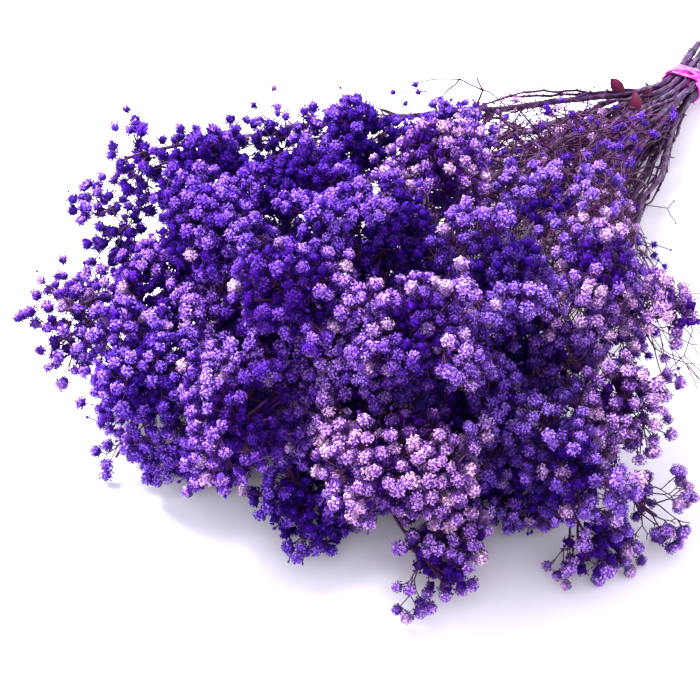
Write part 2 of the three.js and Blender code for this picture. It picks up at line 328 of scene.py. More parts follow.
class Shade:
    """A value or colour in a finish. Arithmetic on it adds the nodes that work it out."""

    def __init__(self, tree, socket=None):
        self.tree = tree
        self.socket = socket

    def node(self, kind, settings=(), sockets=(), output=0):
        """A node with its settings, then the values and links of its sockets."""
        made = self.tree.nodes.new(kind)
        for name, value in dict(settings).items():
            setattr(made, name, value)
        for key, value in dict(sockets).items():
            if isinstance(value, Shade):
                self.tree.links.new(value.socket, made.inputs[key])
            else:
                made.inputs[key].default_value = value
        return Shade(self.tree, made.outputs[output] if made.outputs else None)

    def math(self, operation, *values):
        return self.node("ShaderNodeMath", {"operation": operation}, enumerate(values))

    def __add__(self, other):
        return self.math("ADD", self, other)

    __radd__ = __add__

    def __mul__(self, other):
        return self.math("MULTIPLY", self, other)

    __rmul__ = __mul__

    def __sub__(self, other):
        return self.math("SUBTRACT", self, other)

    def __rsub__(self, other):
        return self.math("SUBTRACT", other, self)

    def __pow__(self, other):
        return self.math("POWER", self, other)

    def above(self, low, high):
        """0 below low, 1 above high, and a smooth rise between."""
        return self.node(
            "ShaderNodeMapRange",
            {"interpolation_type": "SMOOTHSTEP"},
            {"Value": self, "From Min": low, "From Max": high},
        )

    def between(self, first, second):
        """The colour at this share of the way from the first colour to the second."""
        return self.node(
            "ShaderNodeMix", {"data_type": "RGBA", "clamp_factor": True}, {0: self, 6: first, 7: second}, 2
        )

    def noise(self, scale, detail=2.0, stretch=(1, 1, 1)):
        """A cloudy value over the piece, in lumps of about 1 / scale metres."""
        spot = self.node("ShaderNodeTexCoord", output=3)
        spot = self.node("ShaderNodeMapping", {}, {"Vector": spot, "Scale": stretch})
        return self.node("ShaderNodeTexNoise", {}, {"Vector": spot, "Scale": scale, "Detail": detail})

    def bumps(self, strength, depth):
        return self.node("ShaderNodeBump", {}, {"Height": self, "Strength": strength, "Distance": depth})


def new_finish(name):
    """An empty finish, the start of its shading and the four marks of its piece."""
    finish = bpy.data.materials.new(name)
    finish.use_nodes = True
    finish.node_tree.nodes.clear()
    start = Shade(finish.node_tree)
    attribute = start.node("ShaderNodeAttribute", {"attribute_name": "marks"})
    split = start.node("ShaderNodeSeparateColor", {}, {0: attribute})
    marks = [Shade(start.tree, socket) for socket in split.socket.node.outputs]
    marks.append(Shade(start.tree, attribute.socket.node.outputs["Alpha"]))
    return finish, start, marks


def close_finish(start, **sockets):
    """The surface itself, made from the values and colours that were worked out."""
    named = {key.replace("_", " "): value for key, value in sockets.items()}
    surface = start.node("ShaderNodeBsdfPrincipled", {}, named)
    start.node("ShaderNodeOutputMaterial", {}, {"Surface": surface})


def bark_finish():
    """Dyed bark: dark plum with grey streaks along the stem, redder on thin twigs, tan at a cut."""
    finish, start, (thin, chance, joint, cut) = new_finish("dyed_bark")
    streak = start.noise(1.0, 3.0, (620, 55, 620)).above(0.42, 0.62)
    patch = start.noise(75.0, 2.0).above(0.4, 0.68)
    plum = (chance * 0.7 + patch * 0.5).between(rgb(BARK_DARK), rgb(BARK_PLUM))
    streaked = (streak * (0.75 - 0.5 * thin)).between(plum, rgb(BARK_GREY))
    reddened = (thin * 0.55 + patch * 0.25).between(streaked, rgb(BARK_RED))
    jointed = (joint * 0.7).between(reddened, rgb(BARK_DARK))
    colour = cut.between(jointed, rgb(CUT_PITH))
    close_finish(
        start,
        Base_Color=colour,
        Roughness=0.72 - 0.22 * streak,
        Specular_IOR_Level=0.14,
        Normal=(streak + start.noise(900.0) * 0.6).bumps(0.5, 0.0004),
    )
    return finish


bark = bark_finish()
stem_rng = np.random.default_rng(11)


def swellings(run):
    """How much thicker a stem is at each point of its run, how near a joint it is, and its joints."""
    joints = np.cumsum(stem_rng.uniform(*JOINT_SPACING, MOST_JOINTS)) + FIRST_JOINT
    near = np.exp(-((run[:, None] - joints) / JOINT_RUN) ** 2).max(axis=1)
    return 1 + JOINT_SWELL * near, near, joints


def add_stem(grown, line):
    """The main stem, cut at its first point and swaying from joint to joint past the tie."""
    line = paced(line, STEM_STEP)
    run = np.arange(len(line)) * STEM_STEP
    share = run / run[-1]
    free = np.clip((run - SWAY_FROM) / SWAY_RISE, 0, 1)[:, None]
    thicker, near, joints = swellings(run)
    off = stem_rng.normal(0, SWAY, (len(joints), 3))
    sway = np.stack([np.interp(run, joints, off[:, k]) for k in range(3)], axis=1)
    line = line + sway * free * SWAY_SHARES
    radii = (STEM_WIDE + (STEM_NARROW - STEM_WIDE) * share) * thicker
    marks = np.stack([0.6 * share, np.full(len(line), stem_rng.random()), near, run < 0.5], axis=1)
    grown.add_tube(line, radii, STEM_SIDES, marks, RIB_DEPTH, stem_rng.uniform(0, 6))


def add_fork(grown, line):
    """A fork, a little swollen where it leaves its stem."""
    line = paced(line, FORK_STEP)
    run = np.arange(len(line)) * FORK_STEP
    share = run / run[-1]
    thicker, near, joints = swellings(run)
    radii = (FORK_WIDE + (FORK_NARROW - FORK_WIDE) * share) * thicker
    radii[0] *= FORK_ROOT_SWELL
    marks = np.stack([0.6 + 0.3 * share, np.full(len(line), stem_rng.random()), near, 0 * share], axis=1)
    grown.add_tube(line, radii, FORK_SIDES, marks)


for spray in sprays:
    grown = Cuttings()
    add_stem(grown, spray.main)
    for fork in spray.forks:
        add_fork(grown, fork)
    make_piece(f"branch_{spray.label}", grown, bark, "stem", f"stem_{spray.label}")


# Leaves. Most were stripped off: their stubs stay as thorns along the lower stems. A few narrow dried
# leaves are left, curled and papery, and some of them took up a crimson dye.
FIRST_STUB, LAST_STUB, STUB_SPACING = 4, 250, 7.0
STUB_REACH, STUB_SLANT = (3.2, 5.4), (1, 6)
STUB_WIDE, STUB_NARROW = (0.8, 1.4), 0.12
TIE_FROM_CUT, CLEAR_OF_TIE = 60, 12
LEAVES_PER_STEM = 5
FIRST_LEAF, LAST_LEAF = 66, 330
LEAF_LONG, LEAF_SLENDERNESS, LEAF_LEAN = (9, 22), 0.15, (0.3, 1.1)
LEAF_STEPS = 6
# The large crimson leaves: which stem each is on, and at which point of the stem's line
CRIMSON_LEAVES = {"10": 62, "11": 54, "12": 71}
CRIMSON_LONG, CRIMSON_WIDE, CRIMSON_WAY = 28, 8.0, (0.25, 0.1, 0.55)
CRIMSON_DYE, PLUM_DYE = 0.97, 0.85
LEAF_PLUMS = "1c0828", "40204c"
LEAF_CRIMSONS = "541036", "7a2a4c"
LEAF_BROWN = "382018"

leaf_rng = np.random.default_rng(17)


def add_leaf(cuttings, base, heading, length, width, dye):
    """A narrow pointed leaf, folded along its middle and curled back, as one thin surface."""
    share = np.linspace(0, 1, LEAF_STEPS)[:, None]
    heading = unit(heading)
    aside = unit(np.cross(heading, leaf_rng.normal(size=3)))
    lift = np.cross(aside, heading)
    curl = leaf_rng.uniform(-0.5, 0.9)
    middle = base + length * (share * heading + curl * 0.4 * share**2 * lift)
    half = width / 2 * np.sin(math.pi * (0.12 + 0.88 * share)) ** 0.8
    twist = leaf_rng.uniform(-0.8, 0.8) * share
    side = aside * np.cos(twist) + lift * np.sin(twist)
    fold = 0.35 * half * lift
    points = np.concatenate([middle - half * side + fold, middle, middle + half * side + fold])
    k = np.arange(LEAF_STEPS - 1)
    walls = []
    for row in (0, LEAF_STEPS):
        a, b = row + k, row + LEAF_STEPS + k
        walls.append(halved(a, b, b + 1, a + 1))
    cuttings.add_walls(points, np.concatenate(walls), np.tile((0.5, dye, 0, 0), (len(points), 1)))


def leaf_finish():
    """Dried leaf: plum to crimson, veined along its length, brown in places."""
    finish, start, (thin, chance, joint, cut) = new_finish("dried_leaf")
    vein = start.noise(1.0, 2.0, (900, 120, 900)).above(0.3, 0.75)
    plum = vein.between(*map(rgb, LEAF_PLUMS))
    crimson = vein.between(*map(rgb, LEAF_CRIMSONS))
    dyed = chance.above(0.6, 0.8).between(plum, crimson)
    browned = (start.noise(160.0).above(0.52, 0.66) * 0.6).between(dyed, rgb(LEAF_BROWN))
    close_finish(start, Base_Color=browned, Roughness=0.7, Specular_IOR_Level=0.15)
    return finish


def way_and_aside(line, k, rng):
    """Which way a stem runs at a point of its line, and a chance way square to it."""
    tangent = unit(line[k + 1] - line[k - 1])
    return tangent, unit(np.cross(tangent, rng.normal(size=3)))


def stubs_of(line):
    """The thorns on the lower part of one stem, and their marks."""
    stubs = []
    count = math.ceil((LAST_STUB - FIRST_STUB) / STUB_SPACING)
    for at in np.arange(FIRST_STUB, LAST_STUB, STUB_SPACING) + leaf_rng.uniform(-3, 3, count):
        k = max(1, int(at / LINE_STEP))
        tangent, aside = way_and_aside(line, k, leaf_rng)
        if line[k][2] < 12 and aside[2] < 0:
            aside[2] = -aside[2]
        tip = line[k] + aside * leaf_rng.uniform(*STUB_REACH) + tangent * leaf_rng.uniform(*STUB_SLANT)
        if abs(at - TIE_FROM_CUT) > CLEAR_OF_TIE and tip[2] > 0.6:
            stubs.append((*line[k], *tip, leaf_rng.uniform(*STUB_WIDE), STUB_NARROW))
    stubs = np.array(stubs)
    return stubs[:, :3], stubs[:, 3:6], stubs[:, 6], stubs[:, 7]


dried_leaf = leaf_finish()
for spray in sprays:
    line = spray.main
    stubs = stubs_of(line)
    leaves = Cuttings()
    for at in leaf_rng.uniform(FIRST_LEAF, LAST_LEAF, LEAVES_PER_STEM):
        k = min(int(at / LINE_STEP), len(line) - 2)
        tangent, aside = way_and_aside(line, k, leaf_rng)
        heading = tangent + aside * leaf_rng.uniform(*LEAF_LEAN)
        if line[k][2] < 18:
            heading[2] = abs(heading[2])
        long = leaf_rng.uniform(*LEAF_LONG)
        add_leaf(leaves, line[k], heading, long, LEAF_SLENDERNESS * long, PLUM_DYE * leaf_rng.random())
    nothing = np.zeros(len(stubs[0]))
    marks = np.stack([nothing + 0.2, leaf_rng.random(len(nothing)), nothing, nothing], axis=1)
    spray.stubs = (*stubs, marks)
    if spray.label in CRIMSON_LEAVES:
        k = CRIMSON_LEAVES[spray.label]
        heading = unit(line[k + 1] - line[k]) + CRIMSON_WAY
        add_leaf(leaves, line[k], heading, CRIMSON_LONG, CRIMSON_WIDE, CRIMSON_DYE)
    make_piece(f"leaves_{spray.label}", leaves, dried_leaf, "stem")


# Twigs. From each stem grow thinner twigs that fork in two again and again, with a slight kink in their
# middle. They make the brown web behind the flower heads, with few flowers and many buds.
SIDE_TWIGS, FIRST_TWIG, LAST_TWIG, BARE_TIP = 25, 84, 350, 60
TWIG_RUN, TWIG_WIDE, THINNEST = (24, 50), (0.55, 1.0), 0.3
TWIG_LEAN, TWIG_LIFT = (0.15, 0.95), 0.12
TWIG_FORKINGS, TWIG_TURN = 4, (0.3, 0.75)
TWIG_SHRINK, TWIG_TAPER, TWIG_STEP_DOWN = (0.6, 0.82), 0.82, 0.8
TWIG_KINK, KINKED_RUN = 0.06, 7
SMALLEST_JOINT, TWIG_JOINT = 0.4, 1.3
# The thin branches that keep close to their stem: where they leave it, how far they go along it, how
# far apart their points lie, how far they stand off at first and at last, and their width
CLOSE_TWIGS, CLOSE_FROM, CLOSE_RUN, CLOSE_PITCH = 3, (52, 120), (60, 130), 14
CLOSE_OFF, CLOSE_AWAY, CLOSE_WAVER = (0.5, 3.4), (5, 14), 0.8
CLOSE_WIDE, CLOSE_NARROWING, CLOSE_TIP_RUN, CLOSE_FORKINGS = (1.0, 1.5), 0.95, 30, 3
# Twigs turn up near the table and down near the roof that slopes from the bunch's top to the tie
TWIG_FLOOR, TURN_UP_BELOW, TURN_DOWN_WITHIN, TURN_RUN = 2.5, 9, 20, 30
TWIG_CEILING = 150
ROOF_HEIGHT, ROOF_FALL, ROOF_RISE, ROOF_AT = 114, 0.55, 0.3, -20
FAR_SIDE = 178
# On its right the bunch narrows like this towards the tie: how far along it, and how far out. Higher
# up it leans over to the right and back
NARROWING = ((12, 22, 52, 73, 117, 168), (93, 67, 51, 36, 31, 34))
NARROWING_HEIGHT, NARROWING_BACK, NARROWING_LEAN = 30, 1.64, 0.48
LEFT_NARROWING = ((-60, 20, 110, 170), (-140, -92, -45, -12))

twig_rng = np.random.default_rng(41)


def roof(place):
    """How high the twigs reach over a place."""
    return ROOF_HEIGHT - ROOF_FALL * (place[1] - ROOF_AT) + ROOF_RISE * (place[0] - ROOF_AT)


def past_outline(place):
    """How far a place lies past the slanting outline by which the bunch narrows on its right."""
    rise = place[2] - NARROWING_HEIGHT
    along = place[1] + NARROWING_BACK * rise
    if along <= NARROWING[0][0]:
        return 0.0
    return place[0] - NARROWING_LEAN * rise - np.interp(along, *NARROWING)


class Twigs:
    """The thin stalks of one stem, gathered as they branch, and the flowers and buds at their ends."""

    def __init__(self, rng):
        self.rng = rng
        self.stalks = []
        self.joints = []
        self.ends = []

    def add(self, start, end, wide, narrow, kinked=TWIG_KINK):
        """A stalk, which has a slight kink in its middle if it is kinked."""
        chance = self.rng.random()
        wide, narrow = max(wide, THINNEST), max(narrow, THINNEST)
        if not kinked:
            self.stalks.append((*start, *end, wide, narrow, chance))
            return
        run = np.linalg.norm(end - start)
        kink = (start + end) / 2 + self.rng.normal(0, kinked * run, 3)
        middle = (wide + narrow) / 2
        self.stalks += [(*start, *kink, wide, middle, chance), (*kink, *end, middle, narrow, chance)]
        if narrow > SMALLEST_JOINT:
            self.joints.append((*end, TWIG_JOINT * narrow))

    def grow(self, start, heading, run, wide, forkings):
        """A twig and the two twigs that leave its end, until the forkings are used up."""
        ceiling = min(TWIG_CEILING, roof(start))
        turn_up = max(0.0, TURN_UP_BELOW - start[2]) / TURN_RUN
        turn_down = max(0.0, start[2] - ceiling + TURN_DOWN_WITHIN) / TURN_RUN
        heading = unit(heading + [0, 0, turn_up - turn_down])
        end = start + heading * run
        past = past_outline(end)
        if past > 0:
            heading = unit(heading - np.array([1, 0.35, 0]) * min(past / run, 0.7))
            end = start + heading * run
            if past_outline(end) > 3:
                end = start + heading * 0.4 * run
                forkings = 1
        end[0] = max(end[0], np.interp(end[1], *LEFT_NARROWING) - self.rng.uniform(0, 6))
        end[0] = max(-FAR_SIDE, min(FAR_SIDE, end[0]))
        if end[2] < TWIG_FLOOR:
            end[2] = TWIG_FLOOR + self.rng.uniform(0, 3)
        end[2] = min(end[2], max(ceiling, start[2]) + self.rng.uniform(-4, 4))
        narrow = TWIG_TAPER * wide
        self.add(start, end, wide, narrow, TWIG_KINK if run > KINKED_RUN else 0)
        if forkings == 1:
            self.ends.append((*end, *heading))
            return
        plane = unit(np.cross(heading, self.rng.normal(size=3)))
        for way in (-1, 1):
            turn = way * self.rng.uniform(*TWIG_TURN)
            onward = unit(heading * math.cos(turn) + plane * math.sin(turn))
            shorter = run * self.rng.uniform(*TWIG_SHRINK)
            self.grow(end, onward, shorter, narrow * TWIG_STEP_DOWN, forkings - 1)


def add_close_twig(twigs, line):
    """A thin branch that keeps close to its stem for a while, and then parts from it."""
    first = int(twig_rng.uniform(*CLOSE_FROM) / LINE_STEP)
    last = first + int(twig_rng.uniform(*CLOSE_RUN) / LINE_STEP)
    side = unit(np.cross(unit(line[last] - line[first]), twig_rng.normal(size=3))) + 0.5 * AXIS
    along = np.arange(first, min(last, len(line) - 2), int(CLOSE_PITCH / LINE_STEP))
    away = np.interp(along, (first, first + 12, last), (*CLOSE_OFF, twig_rng.uniform(*CLOSE_AWAY)))
    points = line[along] + away[:, None] * side + twig_rng.normal(0, CLOSE_WAVER, (len(along), 3))
    points[:, 2] = np.maximum(points[:, 2], TWIG_FLOOR)
    wide = twig_rng.uniform(*CLOSE_WIDE)
    for start, end in zip(points, points[1:]):
        twigs.add(start, end, wide, CLOSE_NARROWING * wide, 0.03)
        wide *= CLOSE_NARROWING
    twigs.grow(points[-1], points[-1] - points[-2], CLOSE_TIP_RUN, 0.8 * wide, CLOSE_FORKINGS)


def side_twigs(line):
    """The twigs that leave one stem between the tie and the flower heads."""
    twigs = Twigs(twig_rng)
    share = twig_rng.uniform(0, 1, SIDE_TWIGS) ** 0.9
    last = min(LAST_TWIG, len(line) * LINE_STEP - BARE_TIP)
    for at in FIRST_TWIG + share * (last - FIRST_TWIG):
        k = int(at / LINE_STEP)
        tangent, aside = way_and_aside(line, k, twig_rng)
        lean = twig_rng.uniform(*TWIG_LEAN)
        heading = unit(tangent * math.cos(lean) + aside * math.sin(lean)) + TWIG_LIFT * AXIS
        twigs.grow(line[k], heading, twig_rng.uniform(*TWIG_RUN), twig_rng.uniform(*TWIG_WIDE), TWIG_FORKINGS)
    for _ in range(CLOSE_TWIGS):
        add_close_twig(twigs, line)
    return twigs


twigs_of = {spray.label: side_twigs(spray.main) for spray in sprays}


# The places of the flower heads. They lie close under the skin of the clumps, which melt into one
# another, with lumps and hollows in it, and they are loose and scattered at the bunch's edges.
MELT = 0.15
HEAD_SPACING = 12.6
SEED_AREA = 26
LUMP_HEIGHT, LUMP_WAVES, LUMP_LENGTHS = 7.5, 8, (24, 60)
LOWEST_LUMP, FILLED_DIPS, FILLED_WHERE_LOOSE = -1.2, 0.4, 0.6
SKIN_DEPTH, TOP_DEPTH, TOP_FROM, TOP_RISE = 3, 7, 110, 40
LOOSE_DEPTHS = (-9, 3)
ROUNDS_TO_SKIN, LOWEST_HEAD = 5, 2
# Lines of sight come from above and from a little below the horizon, and a clump stops them with all
# but its outermost flowers. Heads with little sight stand wider apart, and those in the dark are left out
SIGHT_LINES, LOWEST_LINE, SIGHT_START, SOLID_SHARE = 64, -0.12, 4, 0.86
LEAST_SIGHT, LITTLE_SIGHT = 0.035, 0.14
WIDER_IN_SHADE, CLOSER_WHERE_LOOSE = 0.35, 0.16
# A clump is crowded when it has more than two near neighbours and isn't small
NEIGHBOUR_GAP, FEW_NEIGHBOURS, MORE_NEIGHBOURS, SMALL_CLUMP, SMALL_RANGE = 12, 2, 3, 15, 6
# Clumps smaller than this are loose sprigs instead
SPRIG_SIZE = 18
# A sparse group of flowers low at the front, which belongs to a sprig
LOWER_MIDDLE, LOWER_MIDDLE_RADIUS = (73, -225, 19), 15.0
LOWER_MIDDLE_OWNER, LOWER_MIDDLE_CROWDED, LOWER_MIDDLE_SEED_AREA = "03_c", 0.3, 75
# How far some clumps stand from their rough places, and how much larger they are
MOVED = {
    "01_a": ((9, 9, 3), -4), "01_c": ((6, 13, 0), -7), "02_a": ((2, 8, 0), -2), "03_c": ((0, 7, 0), 0),
    "04_a": ((0, 3, 0), 0), "04_b": ((-6, 2, 0), -5), "04_c": ((0, 5, 0), 0), "04_d": ((0, 0, 0), -6),
    "05_a": ((0, 0, -14), 0), "08_a": ((9, 5, 2), 1), "09_b": ((-2, 2, 0), -4), "10_a": ((9, 5, 0), -1),
    "10_c": ((0, 0, -5), 0), "12_d": ((0, 0, -6), 0), "13_d": ((0, 0, -4), -5),
}
# Hollows that the flowers leave open, and how wide they are
HOLLOWS = np.array([
    (62, -206, 95), (47, -230, 95), (90, -173, 80), (102, -216, 62), (41, -169, 125), (-4, -257, 88),
    (7, -263, 80), (52, -119, 105), (128, -166, 22),
])
HOLLOW_RADII = np.array([17, 10, 16, 15, 11, 12, 10, 12, 17])

tufts = [tuft for spray in sprays for tuft in spray.tufts]
by_label = {tuft.label: number for number, tuft in enumerate(tufts)}
middles = np.array([tuft.centre for tuft in tufts] + [LOWER_MIDDLE])
radii_of_tufts = np.array([tuft.radius for tuft in tufts] + [LOWER_MIDDLE_RADIUS])
for label, (moved, larger) in MOVED.items():
    middles[by_label[label]] += moved
    radii_of_tufts[by_label[label]] += larger
head_rng = np.random.default_rng(29)
lump_rng = np.random.default_rng(5927)
lump_ways = unit(lump_rng.normal(size=(LUMP_WAVES, 3)))
lump_waves = lump_ways * (2 * math.pi / lump_rng.uniform(*LUMP_LENGTHS, LUMP_WAVES))[:, None]
lump_turns = lump_rng.uniform(0, 2 * math.pi, LUMP_WAVES)


def spread_over_ball(count, lowest=-1.0):
    """Directions spread evenly over a ball, or over the part of it above a height."""
    k = np.arange(count) + 0.5
    height = 1 - (1 - lowest) * k / count
    turn = k * math.pi * (3 - math.sqrt(5))
    flat = np.sqrt(1 - height**2)
    return np.stack([flat * np.cos(turn), flat * np.sin(turn), height], axis=1)


def skin(points):
    """How far points lie outside the clumps, which melt into one another, and which way is out."""
    away = points[:, None] - middles
    distance = np.linalg.norm(away, axis=2)
    pull = np.exp(-MELT * (distance - radii_of_tufts))
    out = unit(((pull / np.maximum(distance, 1e-6))[..., None] * away).sum(axis=1))
    return -np.log(pull.sum(axis=1)) / MELT, out


def lumps(points):
    """The height of the skin's lumps at points, from about -1 in a dip to 1 on a lump."""
    return np.sin(points @ lump_waves.T + lump_turns).sum(axis=1) / 2.4


def in_sight(points):
    """The share of lines of sight, from above and all round, that reach points past the clumps."""
    open_lines = np.zeros(len(points))
    towards = middles[None] - points[:, None]
    for line in spread_over_ball(SIGHT_LINES, LOWEST_LINE):
        ahead = towards @ line
        aside = (towards**2).sum(axis=2) - ahead**2
        blocked = (ahead > SIGHT_START) & (aside < (SOLID_SHARE * radii_of_tufts) ** 2)
        open_lines += ~blocked.any(axis=1)
    return open_lines / SIGHT_LINES


def in_hollows(points):
    """How near points are to the middle of a hollow: 1 at its edge, 0 in its middle."""
    return (np.linalg.norm(points[:, None] - HOLLOWS, axis=2) / HOLLOW_RADII).min(axis=1)


def thinned(points, spacing, rng):
    """The numbers of points that stay when none may stand nearer to another than its spacing."""
    kept = []
    places = np.empty((len(points), 3))
    for k in rng.permutation(len(points)):
        if (np.linalg.norm(places[:len(kept)] - points[k], axis=1) > spacing[k]).all():
            places[len(kept)] = points[k]
            kept.append(k)
    return np.array(kept, int)


# How crowded each clump stands: 1 deep in the mass, 0 for a loose spray at its edge
gaps = np.linalg.norm(middles[:, None] - middles, axis=2) - radii_of_tufts[:, None] - radii_of_tufts
neighbours = (gaps < NEIGHBOUR_GAP).sum(axis=1) - 1
crowded = np.clip((neighbours - FEW_NEIGHBOURS) / MORE_NEIGHBOURS, 0, 1)
crowded *= np.clip((radii_of_tufts - SMALL_CLUMP) / SMALL_RANGE, 0, 1)
crowded[-1] = LOWER_MIDDLE_CROWDED

# Many more places than there are heads, spread over the clumps, brought to the skin and then thinned
seeds, owners = [], []
for number, (middle, radius) in enumerate(zip(middles, radii_of_tufts)):
    is_clump = number < len(tufts)
    if is_clump and radius < SPRIG_SIZE:
        continue
    count = int(4 * math.pi * radius**2 / (SEED_AREA if is_clump else LOWER_MIDDLE_SEED_AREA))
    turned = np.linalg.qr(head_rng.normal(size=(3, 3)))[0]
    seeds.append(middle + radius * spread_over_ball(count) @ turned)
    owners.append(np.full(count, number))
seeds = np.concatenate(seeds)
owners = np.concatenate(owners)
looseness = 1 - crowded[owners]
owners[owners == len(tufts)] = by_label[LOWER_MIDDLE_OWNER]
height_of_lump = lumps(seeds)
depth_wanted = LUMP_HEIGHT * height_of_lump - SKIN_DEPTH
depth_wanted += looseness * head_rng.uniform(*LOOSE_DEPTHS, len(seeds))
depth_wanted -= TOP_DEPTH * np.clip((seeds[:, 2] - TOP_FROM) / TOP_RISE, 0, 1)
for _ in range(ROUNDS_TO_SKIN):
    gap, out = skin(seeds)
    seeds = seeds + (depth_wanted - gap)[:, None] * out
gap, out = skin(seeds)
sight = in_sight(seeds + 3 * out)
stays_in_dip = head_rng.random(len(seeds)) < FILLED_DIPS + FILLED_WHERE_LOOSE * looseness
seen = (in_hollows(seeds) > 1) & (sight > LEAST_SIGHT) & (seeds[:, 2] > LOWEST_HEAD)
seen &= (height_of_lump > LOWEST_LUMP) | stays_in_dip
seeds, out, owners, sight, looseness = seeds[seen], out[seen], owners[seen], sight[seen], looseness[seen]
spacing = HEAD_SPACING * (1 - CLOSER_WHERE_LOOSE * looseness + WIDER_IN_SHADE * (sight < LITTLE_SIGHT))
heads = thinned(seeds, spacing, head_rng)

# Places deep inside, one in each cell of a grid, where flowers that are hardly seen close the view.
# In the lower part of the bunch they come nearer to the skin
INSIDE_PITCH, INSIDE_SCATTER, INSIDE_LOWEST = 8.2, 0.75, 3.5
INSIDE_SHALLOW, INSIDE_DEEP, LOWER_PART, LOWER_SHALLOW = 6.5, 23, 60, 3
CLEAR_OF_HOLLOWS = 1.1
OPEN_SPRAYS = ("05_a", "05_c", "10_a", "10_c", "12_d")
low, high = seeds.min(axis=0), seeds.max(axis=0)
grid_lines = [np.arange(a, b, INSIDE_PITCH) for a, b in zip(low, high)]
cells = np.stack(np.meshgrid(*grid_lines, indexing="ij"), -1).reshape(-1, 3)
insides = cells + head_rng.uniform(0, INSIDE_SCATTER * INSIDE_PITCH, cells.shape)
gap, inside_out = skin(insides)
from_clumps = np.linalg.norm(insides[:, None] - middles[:-1], axis=2) - radii_of_tufts[:-1]
inside_owners = from_clumps.argmin(axis=1)
kept = gap < np.where(insides[:, 2] < LOWER_PART, -LOWER_SHALLOW, -INSIDE_SHALLOW)
kept &= (gap > -INSIDE_DEEP) & (insides[:, 2] > INSIDE_LOWEST) & (in_hollows(insides) > CLEAR_OF_HOLLOWS)
kept &= ~np.isin(inside_owners, [by_label[label] for label in OPEN_SPRAYS])
insides, inside_out, inside_owners = insides[kept], inside_out[kept], inside_owners[kept]


# The flowers themselves: small dried double ones, each a ball of many narrow ruffled petals round a
# closed heart. A half-open one has fewer petals, and those deep inside are only roughly modelled.
FLOWER_REACH = 3.55
# Each kind's number of petals, how far down from its top they go (radians), and its heart's reach
OPEN_PETALS, OPEN_ROUND, OPEN_WIDE, OPEN_HEART = 88, (2.1, 2.5), 0.52, 0.78
HALF_PETALS, HALF_ROUND, HALF_WIDE, HALF_HEART = 50, (1.1, 1.5), 0.4, 0.66
SHADED_PETALS, SHADED_ROUND, SHADED_WIDE, SHADED_HEART = 34, 2.2, 0.6, 0.84
INNER_PETALS, INNER_ROUND, INNER_WIDE, INNER_HEART = 11, 2.2, 0.95, 0.85
OPEN_KINDS, HALF_KINDS, SHADED_KINDS, INNER_KINDS = 8, 4, 5, 4
PETAL_RUN, PETAL_ROOT, PETAL_SINK = 0.46, 0.76, 0.45
PETAL_SCATTER, PETAL_TILT, PETAL_LENGTHS, PETAL_WIDTHS = 0.09, (0.85, 1.45), (0.8, 1.15), (0.7, 1.4)
PETAL_RUFFLE, HEART_ROUGHNESS = 0.3, 0.15
# Painted shade on the petals' ends: how pale they are from the underside of a flower (-1), which is painted
# darker, over its rim (0) to its top (1)
PAINTED_SHADE_HEIGHTS = (-0.5, -0.05, 0.3, 0.75, 1)
PAINTED_SHADE_PALENESS = (0.15, 0.28, 0.92, 1, 0.74)
# How pale a petal's root is against its ends, and how pale the heart is: both are painted darker, as shade
# deep between the petals
ROOT_PAINTED_SHADE, HEART_PAINTED_SHADE = 0.3, 0.38
# Painted light and shade: the share of a petal's mark that it keeps when it faces down, and how much more it
# gets when it faces up
UNDERSIDE_PAINTED_SHADE, TOP_PAINTED_LIGHT = 0.64, 0.4


def ball():
    """A closed heart with twenty faces."""
    p = (1 + math.sqrt(5)) / 2
    points = [
        (-1, p, 0), (1, p, 0), (-1, -p, 0), (1, -p, 0), (0, -1, p), (0, 1, p),
        (0, -1, -p), (0, 1, -p), (p, 0, -1), (p, 0, 1), (-p, 0, -1), (-p, 0, 1),
    ]
    faces = [
        (0, 11, 5), (0, 5, 1), (0, 1, 7), (0, 7, 10), (0, 10, 11), (1, 5, 9), (5, 11, 4),
        (11, 10, 2), (10, 7, 6), (7, 1, 8), (3, 9, 4), (3, 4, 2), (3, 2, 6), (3, 6, 8),
        (3, 8, 9), (4, 9, 5), (2, 4, 11), (6, 2, 10), (8, 6, 7), (9, 8, 1),
    ]
    return unit(np.array(points, float)), np.array(faces)


def rough_ball():
    """A closed heart with eight faces."""
    points = [(1, 0, 0), (-1, 0, 0), (0, 1, 0), (0, -1, 0), (0, 0, 1), (0, 0, -1)]
    faces = [
        (0, 2, 4), (2, 1, 4), (1, 3, 4), (3, 0, 4), (2, 0, 5), (1, 2, 5), (3, 1, 5), (0, 3, 5),
    ]
    return np.array(points, float), np.array(faces)


